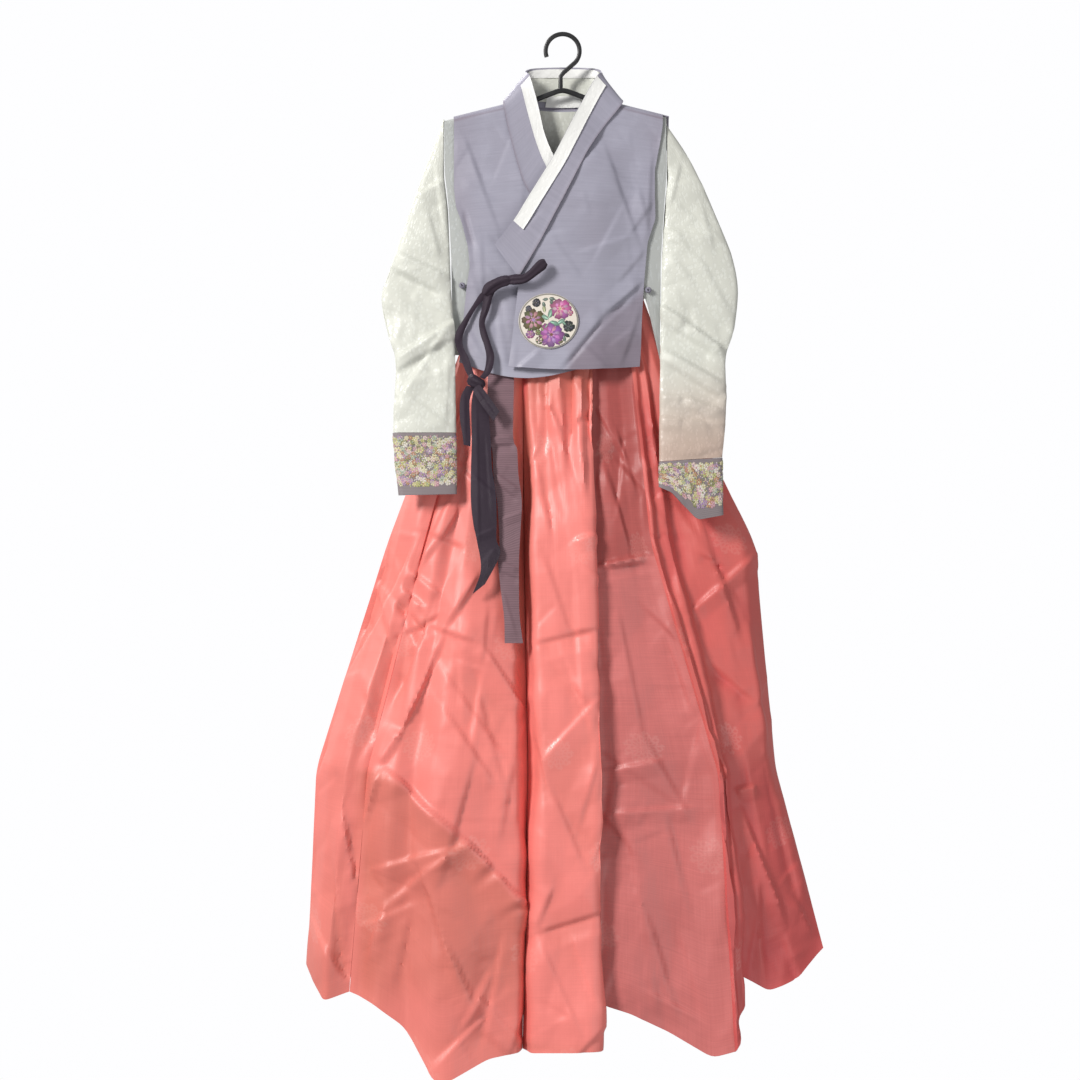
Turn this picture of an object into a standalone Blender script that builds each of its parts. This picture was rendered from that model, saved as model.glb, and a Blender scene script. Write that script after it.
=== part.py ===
"""Korean hanbok on a hanger: lavender vest over an ivory jeogori, coral chima, dark ties.

Modelled in millimetres and scaled to metres at the end. The origin is the inside top of the
hanger's hook. X runs to the wearer's left, -Y is the front, and a "drop" is a distance down
from the origin, so Z = -drop. Tables and their fields name left and right as one faces the
garment; the pieces are named by the wearer's side.
"""
import math
from collections import namedtuple

import bmesh
import bpy
from mathutils import Vector

MM = 0.001

# Cloth walls, seam gap and clearances, in millimetres.
VEST_WALL = 1.5
IVORY_WALL = 1.2
COLLAR_WALL = 2.0
STRIP_WALL = 1.0
SKIRT_WALL = 1.2
BAND_WALL = 2.0
RIBBON_WALL = 1.2
SEAM_GAP = 0.2
SLEEVE_SEAM_GAP = 1.6
SHOULDER_GAP = 0.7
# Where the shoulder's turn is, below the top edge, and how much of the depth it has there.
SHOULDER_STEPS = ((0.0, 0.0), (2.0, 0.75), (7.0, 1.0))
RING_POINTS = 16

# Shoulder line of the vest: its drop at the neck point, and how it falls outwards.
NECK_POINT_X = 87.0
NECK_POINT_DROP = 101.5
SHOULDER_FALL = 0.25
NECK_HOLLOW = 8.0
IVORY_BELOW_VEST = 3.0
ARM_BELOW_VEST = 12.5

# Depth of the upper body, front and back, measured to the jeogori's outer face.
SIDE_DEPTH = 8.5
CHEST_DEPTH = 8.0
BACK_DEPTH = 5.0
HEM_FLARE_FRONT = 16.0
HEM_FLARE_BACK = 12.0
BODY_HALF_WIDTH = 175.0
CHEST_TOP = 110.0
CHEST_FULL = 260.0
FLARE_TOP = 380.0
VEST_HEM = 505.0

# How far each layer lies outside the jeogori's outer face.
VEST_LIFT = 4.0
UNDER_COLLAR_LIFT = 8.0
OVER_PANEL_LIFT = 14.0
COLLAR_ON_PANEL = 4.0
COLLAR_STEPS = 2
STRIP_WIDTH = 20.0
STRIP_ABOVE_COLLAR = 0.5
IVORY_COLLAR_BEHIND = 0.8
BACK_STRIP_BEHIND = 1.6
LABEL_BEHIND = 1.4
LABEL_WALL = 0.8
OVER_LAP_START = 45.0
OVER_LAP_END = 110.0
OVER_LAP_SHIFT = 60.0
OVER_LAP_TOP = 110.0
OVER_LAP_FULL = 220.0

# Hanger.
ARM_RADIUS = 4.0
HOOK_WIRE_RADIUS = 3.5
HOOK_INNER_RADIUS = 22.0
HOOK_START_DEG = -45.0
HOOK_END_DEG = 200.0
STEM_X = -3.0
APEX_DROP = 80.0
ARM_TIP_X = 152.0

# Skirt: drops of its levels, and the chest band above it.
BAND_TOP = 330.0
BAND_BOTTOM = 394.5
BAND_HALF_WIDTH = 124.0
BAND_FRONT_DEPTH = 9.0
BAND_BACK_DEPTH = 5.5
BAND_LAP_LIFT = 3.2
SKIRT_TOP = 395.0
HIP = 505.0
KNEE = 760.0
SHIN = 1100.0
TOP_NARROWING = 0.75
TOP_FLATTENING = 0.5

# Medallion on the over panel, knots at the sides, shoulder straps, neck label.
MEDALLION_X = -21.5
MEDALLION_DROP = 431.0
MEDALLION_HALF_WIDTH = 44.5
MEDALLION_HALF_HEIGHT = 41.5
MEDALLION_ON_PANEL = 1.9
MEDALLION_WALL = 1.2
KNOT_RADIUS = 5.0
KNOT_CORD_RADIUS = 1.4
KNOT_STAND_OFF = 1.5
KNOT_GAP = 0.6
RIBBON_BOW = 0.6
STRAP_X = 105.0
STRAP_WIDTH = 26.0
STRAP_WALL = 1.5
STRAP_GAP = 0.4
STRAP_FRONT_Y = -7.0
STRAP_BACK_Y = 7.2

MATERIALS = {
    # name: (red, green, blue), roughness
    "lavender_silk": ((0.355, 0.355, 0.415), 0.55),
    "ivory_satin": ((0.72, 0.73, 0.68), 0.45),
    "white_strip": ((0.90, 0.90, 0.88), 0.50),
    "coral_organza": ((0.85, 0.25, 0.22), 0.45),
    "rose_organza": ((0.60, 0.19, 0.18), 0.50),
    "plum_ribbon": ((0.052, 0.038, 0.057), 0.55),
    "mauve_ribbon": ((0.25, 0.15, 0.175), 0.55),
    "cuff_brocade": ((0.42, 0.36, 0.28), 0.60),
    "medallion_embroidery": ((0.55, 0.42, 0.45), 0.65),
    "hanger_black": ((0.012, 0.012, 0.013), 0.40),
}

# A row of a flat panel: its left and right ends, seen from the front.
PanelRow = namedtuple("PanelRow", "left_x left_drop right_x right_drop")

# A ring of a flat tube: left and right folds, the plane it lies about, and half its depth.
RingRow = namedtuple("RingRow", "left_x left_drop right_x right_drop middle_y half_depth")

# A row of the collar: its neck edge and its seam edge. A y of None lies on the front.
CollarRow = namedtuple("CollarRow", "neck_x neck_y neck_drop seam_x seam_y seam_drop")

# A row of a ribbon: the places of its two edges, and its plane.
RibbonRow = namedtuple("RibbonRow", "a_x a_drop b_x b_drop y")

# A fold line of the skirt: x and y where it crosses each level, and where it meets the hem.
FoldRow = namedtuple("FoldRow", "hip_x knee_x shin_x hem_x hip_y knee_y shin_y hem_y hem_drop")

VEST_OVER_ROWS = [
    PanelRow(74, 114, 150, 136),
    PanelRow(42, 150, 146, 162),
    PanelRow(14, 190, 138, 203),
    PanelRow(-8, 232, 138, 240),
    PanelRow(-32, 272, 139, 276),
    PanelRow(-56, 320, 127, 312),
    PanelRow(-65, 366, 122, 370),
    PanelRow(-69, 400, 120, 400),
    PanelRow(-73, 435, 118, 435),
    PanelRow(-77, 470, 117, 468),
    PanelRow(-81, 499, 115, 498),
]
VEST_UNDER_ROWS = [
    PanelRow(-163, 129, -78, 112),
    PanelRow(-163, 150, -72, 140),
    PanelRow(-163, 190, -58, 180),
    PanelRow(-163, 230, -45, 215),
    PanelRow(-160, 258, -30, 245),
    PanelRow(-150, 285, -12, 275),
    PanelRow(-142, 317, 4, 310),
    PanelRow(-139, 348, 14, 345),
    PanelRow(-144, 378, 20, 380),
    PanelRow(-148, 420, 24, 420),
    PanelRow(-151, 460, 28, 460),
    PanelRow(-155, 491, 30, 500),
]
VEST_BACK_ROWS = [
    PanelRow(-164, 150, 160, 150),
    PanelRow(-164, 200, 152, 200),
    PanelRow(-163, 245, 148, 245),
    PanelRow(-154, 290, 140, 290),
    PanelRow(-143, 335, 130, 335),
    PanelRow(-145, 378, 123, 378),
    PanelRow(-149, 420, 122, 420),
    PanelRow(-152, 460, 120, 460),
    PanelRow(-155, 496, 118, 496),
]
IVORY_LEFT_ROWS = [
    PanelRow(-177.5, 130, -84, 114),
    PanelRow(-177.5, 165, -74, 150),
    PanelRow(-177.0, 205, -62, 195),
    PanelRow(-172.0, 250, -48, 240),
    PanelRow(-169.3, 290, -34, 285),
    PanelRow(-167.0, 340, -22, 335),
    PanelRow(-164.6, 388, -12, 385),
]
IVORY_RIGHT_ROWS = [
    PanelRow(84, 114, 155.5, 131),
    PanelRow(74, 150, 155.5, 165),
    PanelRow(62, 195, 155.8, 208),
    PanelRow(48, 240, 152.8, 250),
    PanelRow(34, 285, 150.0, 290),
    PanelRow(22, 335, 147.2, 340),
    PanelRow(12, 385, 145.5, 390),
]
IVORY_BACK_ROWS = [
    PanelRow(-177.5, 165, 155.5, 165),
    PanelRow(-177.0, 205, 155.8, 205),
    PanelRow(-171.5, 255, 152.0, 255),
    PanelRow(-168.0, 320, 148.0, 320),
    PanelRow(-164.6, 388, 145.5, 388),
]

COLLAR_ROWS = {
    "under_end": CollarRow(33, None, 259, -10, None, 303),
    "under_low": CollarRow(8, None, 215, -30, None, 262),
    "under_cross": CollarRow(-13, None, 182, -52, None, 235),
    "under_chest": CollarRow(-27, None, 148, -66, None, 200),
    "under_top": CollarRow(-37, None, 104, -82, None, 140),
    "left_front": CollarRow(-49, -14, 62, -89, -14, 104),
    "left_side": CollarRow(-56, 4, 53, -87, 2, 96),
    "left_back": CollarRow(-50, 18, 46, -72, 12, 101),
    "back_left": CollarRow(-28, 27, 43, -42, 17, 107),
    "back_middle": CollarRow(3, 29, 42, 1, 19, 109),
    "back_right": CollarRow(34, 27, 43, 44, 17, 107),
    "right_back": CollarRow(54, 18, 46, 72, 12, 101),
    "right_side": CollarRow(59, 4, 54, 87, 2, 96),
    "right_front": CollarRow(51, -15, 62, 89, -15, 104),
    "over_top": CollarRow(26, None, 106, 62, None, 138),
    "over_chest": CollarRow(5, None, 147, 40, None, 171),
    "over_cross": CollarRow(-13, None, 182, 22, None, 205),
    "over_middle": CollarRow(-33, None, 215, 4, None, 240),
    "over_low": CollarRow(-53, None, 247, -13, None, 272),
    "over_strip_end": CollarRow(-74, None, 281, -36, None, 315),
    "over_end": CollarRow(-102, None, 317, -66, None, 365),
}
COLLAR_ORDER = list(COLLAR_ROWS)

LEFT_SLEEVE_ROWS = [
    RingRow(-179, 124, -178.5, 212, 0, 8.5),
    RingRow(-198, 176, -176, 228, -1, 8.5),
    RingRow(-219, 232, -172, 262, -3, 8),
    RingRow(-240, 294, -170, 300, -6, 8),
    RingRow(-261, 356, -168, 345, -11, 7.5),
    RingRow(-272, 394, -166, 388, -15, 7),
    RingRow(-264, 442, -162, 436, -21, 7),
    RingRow(-250, 488, -160, 480, -28, 6.5),
    RingRow(-251, 540, -159, 532, -37, 6.5),
    RingRow(-253, 597.5, -157.5, 597.5, -47, 7),
]
LEFT_CUFF_ROWS = [
    RingRow(-253, 598, -157.5, 598, -47, 7),
    RingRow(-249, 645, -157, 645, -52, 7),
    RingRow(-244, 691, -156.5, 689, -57, 7),
]
RIGHT_SLEEVE_ROWS = [
    RingRow(157, 218, 157, 134, 0, 8.5),
    RingRow(155.5, 236, 188, 180, -1, 8.5),
    RingRow(152, 270, 214, 232, -3, 8),
    RingRow(150, 308, 236, 284, -6, 8),
    RingRow(148, 345, 255, 334, -11, 7.5),
    RingRow(146.5, 392, 263, 386, -15, 7),
    RingRow(145.5, 440, 256, 446, -21, 7),
    RingRow(145, 485, 244, 484, -28, 6.5),
    RingRow(143.5, 540, 244, 536, -37, 6.5),
    RingRow(143, 590, 242, 588, -46, 6.5),
    RingRow(142, 640.5, 237, 634.5, -52, 7),
]
RIGHT_CUFF_ROWS = [
    RingRow(142, 641, 237, 635, -52, 7),
    RingRow(141.5, 662, 237, 675, -57, 7),
    RingRow(141, 678, 238, 720, -61, 7),
]
RIGHT_CUFF_CORNER_DROP = 24.0
IVORY_CORNER_DROP = 96.0

FRONT_FOLDS = {
    "left_edge": FoldRow(-166, -263, -371, -384, 2, 4, 8, 10, 1392),
    "left_turn": FoldRow(-160, -250, -352, -368, -8, -18, -30, -32, 1420),
    "left_ridge": FoldRow(-146, -222, -325, -354, -14, -36, -58, -60, 1439),
    "left_dip": FoldRow(-138, -205, -290, -317, -12, -33, -50, -50, 1427),
    "left_swell": FoldRow(-126, -182, -250, -277, -18, -46, -74, -78, 1444),
    "left_trough": FoldRow(-118, -165, -222, -235, -15, -41, -68, -74, 1474),
    "low_point": FoldRow(-108, -145, -188, -190, -19, -53, -88, -104, 1549),
    "low_point_right": FoldRow(-100, -130, -160, -170, -19, -55, -90, -106, 1550),
    "left_inner": FoldRow(-88, -104, -115, -110, -19, -55, -84, -92, 1519),
    "left_lip": FoldRow(-72, -72, -66, -66, -19, -53, -78, -84, 1511),
    "valley": FoldRow(-60, -58, -52, -60, -10, -26, -44, -56, 1510),
    "centre_lip": FoldRow(-52, -50, -40, -48, -22, -58, -86, -94, 1510),
    "centre_ridge": FoldRow(-44, -42, -30, -30, -26, -64, -94, -102, 1508),
    "centre_middle": FoldRow(0, 4, 12, 10, -26, -64, -96, -106, 1506),
    "centre_right": FoldRow(36, 34, 50, 42, -27, -66, -98, -106, 1505),
    "centre_edge": FoldRow(47, 46, 63, 55, -25, -62, -92, -98, 1505),
    "centre_under": FoldRow(40, 38, 52, 44, -19, -52, -80, -86, 1496),
    "rose_start": FoldRow(50, 46, 60, 52, -14, -44, -68, -72, 1440),
    "rose_left": FoldRow(66, 76, 110, 100, -18, -46, -70, -74, 1455),
    "rose_middle": FoldRow(82, 100, 165, 160, -16, -42, -68, -78, 1484),
    "rose_low": FoldRow(94, 118, 205, 219, -18, -44, -72, -86, 1518),
    "rose_edge": FoldRow(104, 130, 228, 252, -20, -50, -82, -96, 1507),
    "first_pleat": FoldRow(110, 136, 233, 258, -22, -56, -90, -102, 1502),
    "first_return": FoldRow(114, 142, 234, 256, -14, -44, -76, -84, 1460),
    "second_pleat": FoldRow(124, 160, 243, 272, -20, -50, -80, -84, 1440),
    "second_return": FoldRow(128, 168, 244, 262, -10, -34, -58, -62, 1400),
    "right_swell": FoldRow(142, 226, 276, 306, -14, -36, -50, -50, 1426),
    "right_turn": FoldRow(154, 268, 306, 350, -8, -24, -34, -30, 1412),
    "right_edge": FoldRow(162, 288, 320, 392, 2, 2, 0, 0, 1370),
}
FOLD_ORDER = list(FRONT_FOLDS)
SKIRT_LEVELS = [SKIRT_TOP, 450, HIP, 570, 640, 700, KNEE, 850, 950, 1030, SHIN]
SKIRT_LOW_STEPS = [0.35, 0.7, 1.0]

# The back of the skirt: folds between a side edge and the lap's end, and the fold where each
# half is seamed. A row says where the lap ends and hangs, and how far back each level stands.
BACK_FOLDS = 10
BACK_SEAM = 4
BackRow = namedtuple("BackRow", "lap_hip lap_hem hip_y knee_y shin_y hem_y hem_drop edge_drop")
BACK_UNDER = BackRow(-40, -110, 11, 36, 54, 62, 1436, 1376)
BACK_OVER = BackRow(62, 150, 17, 44, 63, 72, 1440, 1390)
BACK_FOLD_DEPTH = {"hip": 0.8, "knee": 5.0, "shin": 9.0, "hem": 11.0}
SIDE_GAPS = {"hip": 8.0, "knee": 3.4, "shin": 3.4, "hem": 3.4}

RIBBONS = {
    # name: (material, rows)
    "tie_loop": ("plum_ribbon", [
        RibbonRow(-100, 369, -102, 379, -40),
        RibbonRow(-76, 366, -74, 376, -46),
        RibbonRow(-60, 366, -54, 377, -47),
        RibbonRow(-46, 352, -37, 365, -48),
        RibbonRow(-34, 342, -26, 356, -47),
        RibbonRow(-30, 340, -24, 353, -44),
        RibbonRow(-34, 342, -26, 356, -41.5),
        RibbonRow(-46, 352, -37, 365, -41),
        RibbonRow(-60, 366, -54, 377, -41),
        RibbonRow(-76, 367, -74, 375, -41),
        RibbonRow(-97, 371, -97, 377, -37),
    ]),
    "tie_strand_outer": ("plum_ribbon", [
        RibbonRow(-123, 389, -112, 395, -27),
        RibbonRow(-134, 405, -123, 410, -26),
        RibbonRow(-150, 431, -139, 435, -26),
        RibbonRow(-159, 455, -148, 455, -27),
        RibbonRow(-158, 470, -147, 468, -29),
        RibbonRow(-152, 487, -141, 484, -32),
        RibbonRow(-146, 505, -136, 502, -37),
        RibbonRow(-141, 516, -132, 514, -43),
    ]),
    "tie_strand_inner": ("plum_ribbon", [
        RibbonRow(-117, 396, -107, 396, -31),
        RibbonRow(-120, 412, -110, 412, -31),
        RibbonRow(-123, 432, -113, 432, -32),
        RibbonRow(-122, 450, -112, 448, -33),
        RibbonRow(-117, 468, -107, 466, -35),
        RibbonRow(-113, 485, -103, 484, -38),
        RibbonRow(-117, 505, -107, 506, -43),
        RibbonRow(-124, 515, -116, 518, -47),
    ]),
    "tie_tail_left": ("plum_ribbon", [
        RibbonRow(-146, 532, -132, 532, -48),
        RibbonRow(-154, 551, -138, 553, -49),
        RibbonRow(-152, 575, -137, 575, -52),
        RibbonRow(-149, 600, -137, 600, -55),
        RibbonRow(-148, 616, -138, 617, -57),
    ]),
    "tie_tail_square": ("plum_ribbon", [
        RibbonRow(-130, 535, -121, 530, -56),
        RibbonRow(-124, 552, -113, 543, -59),
        RibbonRow(-105, 578, -96, 565, -62),
    ]),
    "tie_tail_long": ("plum_ribbon", [
        RibbonRow(-132, 534, -122, 532, -49),
        RibbonRow(-136, 565, -112, 565, -50),
        RibbonRow(-135, 607, -107, 607, -57),
        RibbonRow(-136, 650, -105, 650, -62),
        RibbonRow(-136, 700, -99, 690, -68),
        RibbonRow(-132, 735, -98, 730, -71),
        RibbonRow(-127, 758, -98, 757, -73),
        RibbonRow(-121, 800, -93, 779, -75),
        RibbonRow(-133, 836, -115, 822, -77),
    ]),
    "wide_tail": ("mauve_ribbon", [
        RibbonRow(-111, 486, -73, 486, -22.2),
        RibbonRow(-112, 504, -73, 504, -23.0),
        RibbonRow(-112, 514, -73, 514, -24.4),
        RibbonRow(-112, 530, -73, 530, -31),
        RibbonRow(-112, 604, -74, 604, -46),
        RibbonRow(-105, 622, -68, 622, -50),
        RibbonRow(-103, 660, -66, 660, -54),
        RibbonRow(-97, 705, -61, 700, -58),
        RibbonRow(-94, 760, -63, 745, -63),
        RibbonRow(-96, 787, -65, 787, -66),
        RibbonRow(-92, 830, -65, 830, -70),
        RibbonRow(-87, 870, -64, 870, -73),
        RibbonRow(-86, 909, -59, 909, -76),
    ]),
}


def mix(start, end, share):
    return start + (end - start) * share


def ramp(value, start, end):
    """Smooth rise from 0 at start to 1 at end."""
    share = min(max((value - start) / (end - start), 0.0), 1.0)
    return share * share * (3.0 - 2.0 * share)


def smooth_rows(rows, steps):
    """Rows with extra ones between, on Catmull-Rom curves through the given ones."""
    result = []
    last = len(rows) - 1
    for index in range(last):
        before = rows[max(index - 1, 0)]
        after = rows[min(index + 2, last)]
        for step in range(steps):
            t = step / steps
            values = []
            for a, b, c, d in zip(before, rows[index], rows[index + 1], after):
                values.append(0.5 * (2 * b + (c - a) * t + (2 * a - 5 * b + 4 * c - d) * t ** 2
                                     + (3 * b - a - 3 * c + d) * t ** 3))
            result.append(type(rows[index])(*values))
    result.append(rows[last])
    return result


def make_material(name):
    colour, roughness = MATERIALS[name]
    material = bpy.data.materials.new(name)
    material.use_nodes = True
    shader = material.node_tree.nodes["Principled BSDF"]
    shader.inputs["Base Color"].default_value = (*colour, 1.0)
    shader.inputs["Roughness"].default_value = roughness
    material.diffuse_color = (*colour, 1.0)
    return material


def add_object(name, mesh, material_name):
    piece = bpy.data.objects.new(name, mesh)
    bpy.context.collection.objects.link(piece)
    material = bpy.data.materials.get(material_name) or make_material(material_name)
    mesh.materials.append(material)
    mesh.shade_smooth()
    mesh.set_sharp_from_angle(angle=math.radians(35))
    return piece


def place(point):
    """From (x, y, drop) in millimetres to metres."""
    x, y, drop = point
    return Vector((x, y, -drop)) * MM


def add_cloth(name, grid, wall, material_name, closed=False):
    """A cloth wall: the grid is its outer face, seen rows down and columns left to right."""
    shell = bmesh.new()
    vertices = [[shell.verts.new(place(point)) for point in row] for row in grid]
    columns = len(grid[0])
    for upper, lower in zip(vertices, vertices[1:]):
        for left in range(columns if closed else columns - 1):
            right = (left + 1) % columns
            shell.faces.new((upper[left], lower[left], lower[right], upper[right]))
    mesh = bpy.data.meshes.new(name)
    shell.to_mesh(mesh)
    shell.free()
    piece = add_object(name, mesh, material_name)
    thickness = piece.modifiers.new("wall", "SOLIDIFY")
    thickness.thickness = wall * MM
    thickness.offset = -1.0
    return piece


def trimmed(grid, first=False, last=False, gap=SEAM_GAP):
    """The grid with its first or last column drawn in by a gap."""
    result = [list(row) for row in grid]
    for row in result:
        for wanted, edge, inner in ((first, 0, 1), (last, -1, -2)):
            if wanted:
                start, towards = Vector(row[edge]), Vector(row[inner])
                row[edge] = tuple(start + (towards - start).normalized() * gap)
    return result


def shoulder_drop(x):
    """Drop of the vest's shoulder line."""
    return NECK_POINT_DROP + (abs(x) - NECK_POINT_X) * SHOULDER_FALL


def body_round(x):
    return max(1.0 - (x / BODY_HALF_WIDTH) ** 2, 0.0)


def front_depth(x, drop):
    """How far the jeogori's outer face stands in front of the hanger."""
    flare = max(drop - FLARE_TOP, 0.0) / (VEST_HEM - FLARE_TOP)
    swell = CHEST_DEPTH * ramp(drop, CHEST_TOP, CHEST_FULL) + HEM_FLARE_FRONT * flare
    return SIDE_DEPTH + swell * body_round(x)


def back_depth(x, drop):
    flare = max(drop - FLARE_TOP, 0.0) / (VEST_HEM - FLARE_TOP)
    swell = BACK_DEPTH * ramp(drop, CHEST_TOP, CHEST_FULL) + HEM_FLARE_BACK * flare
    return SIDE_DEPTH + swell * body_round(x)


def over_lift(x, drop):
    """The over panel lies close at its own side and higher where it laps the under panel."""
    shift = OVER_LAP_SHIFT * (1.0 - ramp(drop, OVER_LAP_TOP, OVER_LAP_FULL))
    return mix(OVER_PANEL_LIFT, VEST_LIFT, ramp(x + shift, OVER_LAP_START, OVER_LAP_END))


def front_panel(rows, columns, lift, below_vest, hem_sag):
    """Front panel that turns over the shoulder at its top, and sags at its hem."""
    grid = []
    for extra, share in SHOULDER_STEPS:
        row = []
        for column in range(columns + 1):
            x = mix(rows[0].left_x, rows[0].right_x, column / columns)
            drop = shoulder_drop(x) + below_vest + extra
            depth = front_depth(x, drop) + lift(x, drop)
            row.append((x, -max(depth * share, SHOULDER_GAP), drop))
        grid.append(row)
    for index, ends in enumerate(rows):
        row = []
        for column in range(columns + 1):
            share = column / columns
            x = mix(ends.left_x, ends.right_x, share)
            drop = mix(ends.left_drop, ends.right_drop, share)
            if index == len(rows) - 1:
                drop += hem_sag * math.sin(math.pi * share)
            row.append((x, -(front_depth(x, drop) + lift(x, drop)), drop))
        grid.append(row)
    return grid


def neck_hollow(x):
    """1 at the middle of the back neck, 0 from the neck points outwards."""
    return max(1.0 - (x / NECK_POINT_X) ** 2, 0.0)


def back_panel(rows, columns, lift, below_vest, hem_sag):
    """Back panel: over the shoulders, and hollowed at the neck. Columns run right to left."""
    grid = []
    for extra, share in SHOULDER_STEPS:
        row = []
        for column in range(columns + 1):
            x = mix(rows[0].right_x, rows[0].left_x, column / columns)
            hollow = neck_hollow(x)
            drop = max(shoulder_drop(x), NECK_POINT_DROP) + NECK_HOLLOW * hollow ** 2
            drop += below_vest + extra
            depth = back_depth(x, drop) + lift
            top_y = depth * hollow ** 0.4
            row.append((x, max(mix(top_y, depth, share), SHOULDER_GAP), drop))
        grid.append(row)
    for index, ends in enumerate(rows):
        row = []
        for column in range(columns + 1):
            share = column / columns
            x = mix(ends.right_x, ends.left_x, share)
            drop = mix(ends.right_drop, ends.left_drop, share)
            if index == len(rows) - 1:
                drop += hem_sag * math.sin(math.pi * share)
            row.append((x, back_depth(x, drop) + lift, drop))
        grid.append(row)
    return grid


def build_vest():
    over = front_panel(VEST_OVER_ROWS, 8, over_lift, 0.0, 5.0)
    add_cloth("vest_front_over", over, VEST_WALL, "lavender_silk")
    under = front_panel(VEST_UNDER_ROWS, 7, lambda x, drop: VEST_LIFT, 0.0, 20.0)
    add_cloth("vest_front_under", under, VEST_WALL, "lavender_silk")
    back = back_panel(VEST_BACK_ROWS, 14, VEST_LIFT, 0.0, 6.0)
    add_cloth("vest_back", back, VEST_WALL, "lavender_silk")


def build_jeogori():
    left = front_panel(IVORY_LEFT_ROWS, 6, lambda x, drop: 0.0, IVORY_BELOW_VEST, 0.0)
    add_cloth("jeogori_front_right", left, IVORY_WALL, "ivory_satin")
    right = front_panel(IVORY_RIGHT_ROWS, 6, lambda x, drop: 0.0, IVORY_BELOW_VEST, 0.0)
    hem = right[-1]
    x, y, drop = hem[-1]
    hem[-1] = (x, y - 1.0, drop + IVORY_CORNER_DROP)
    add_cloth("jeogori_front_left", right, IVORY_WALL, "ivory_satin")
    back = back_panel(IVORY_BACK_ROWS, 14, 0.0, IVORY_BELOW_VEST, 0.0)
    add_cloth("jeogori_back", back, IVORY_WALL, "ivory_satin")


def tube_grid(rows, steps, corner_drop=0.0):
    """Rings of a flat tube; the last one may reach lower at a corner of its width."""
    rings = smooth_rows(rows, steps)
    grid = []
    for index, ring in enumerate(rings):
        row = []
        dip = corner_drop * index / (len(rings) - 1)
        for step in range(RING_POINTS):
            angle = math.pi - 2.0 * math.pi * step / RING_POINTS
            across = 0.5 + 0.5 * math.cos(angle)
            bow = math.copysign(abs(math.sin(angle)) ** 0.7, math.sin(angle))
            x = mix(ring.left_x, ring.right_x, across)
            drop = mix(ring.left_drop, ring.right_drop, across)
            drop += dip * max(1.0 - abs(across - 0.6) / 0.4, 0.0)
            row.append((x, ring.middle_y - ring.half_depth * bow, drop))
        grid.append(row)
    return grid


def build_sleeves():
    """Each sleeve is a front and a back, which nearly meet at its two folds."""
    half = RING_POINTS // 2
    for name, rows in (("sleeve_right", LEFT_SLEEVE_ROWS), ("sleeve_left", RIGHT_SLEEVE_ROWS)):
        rings = tube_grid(rows, 1)
        front = [ring[:half + 1] for ring in rings]
        back = [ring[half:] + ring[:1] for ring in rings]
        for side, grid in (("_front", front), ("_back", back)):
            grid = trimmed(grid, True, True, SLEEVE_SEAM_GAP)
            add_cloth(name + side, grid, IVORY_WALL, "ivory_satin")
    add_cloth("cuff_right", tube_grid(LEFT_CUFF_ROWS, 1), IVORY_WALL, "cuff_brocade", True)
    cuff = tube_grid(RIGHT_CUFF_ROWS, 1, RIGHT_CUFF_CORNER_DROP)
    add_cloth("cuff_left", cuff, IVORY_WALL, "cuff_brocade", True)


def collar_rows_between(first, last):
    """Smoothed collar rows from one name to another, with every y worked out."""
    rows = []
    for name in COLLAR_ORDER:
        row = COLLAR_ROWS[name]
        ys = []
        for x, y, drop in (row[:3], row[3:]):
            if y is None and name.startswith("under"):
                y = -(front_depth(x, drop) + UNDER_COLLAR_LIFT)
            elif y is None:
                y = -(front_depth(x, drop) + over_lift(x, drop) + COLLAR_ON_PANEL)
            ys.append(y)
        rows.append(CollarRow(row.neck_x, ys[0], row.neck_drop, row.seam_x, ys[1], row.seam_drop))
    start, end = COLLAR_ORDER.index(first), COLLAR_ORDER.index(last)
    return smooth_rows(rows, COLLAR_STEPS)[start * COLLAR_STEPS:end * COLLAR_STEPS + 1]


def collar_grid(first, last, start_share, end_share, columns, lift):
    """A stretch of the band, moved out by lift. Columns run from neck edge to seam edge."""
    rows = collar_rows_between(first, last)
    points = []
    for row in rows:
        neck, seam = Vector(row[:3]), Vector(row[3:])
        line = []
        for column in range(columns + 1):
            share = mix(start_share, end_share(row), column / columns)
            line.append(neck.lerp(seam, share))
        points.append(line)
    grid = []
    for index, line in enumerate(points):
        before = points[max(index - 1, 0)]
        after = points[min(index + 1, len(points) - 1)]
        row = []
        for column, point in enumerate(line):
            along = after[column] - before[column]
            across = line[-1] - line[0]
            outward = across.cross(along).normalized()
            row.append(tuple(point + outward * lift))
        grid.append(row)
    return grid


def band_width(row):
    return (Vector(row[:3]) - Vector(row[3:])).length


def strip_share(row):
    """Share of the collar's width that the dongjeong takes."""
    return STRIP_WIDTH / band_width(row)


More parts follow.
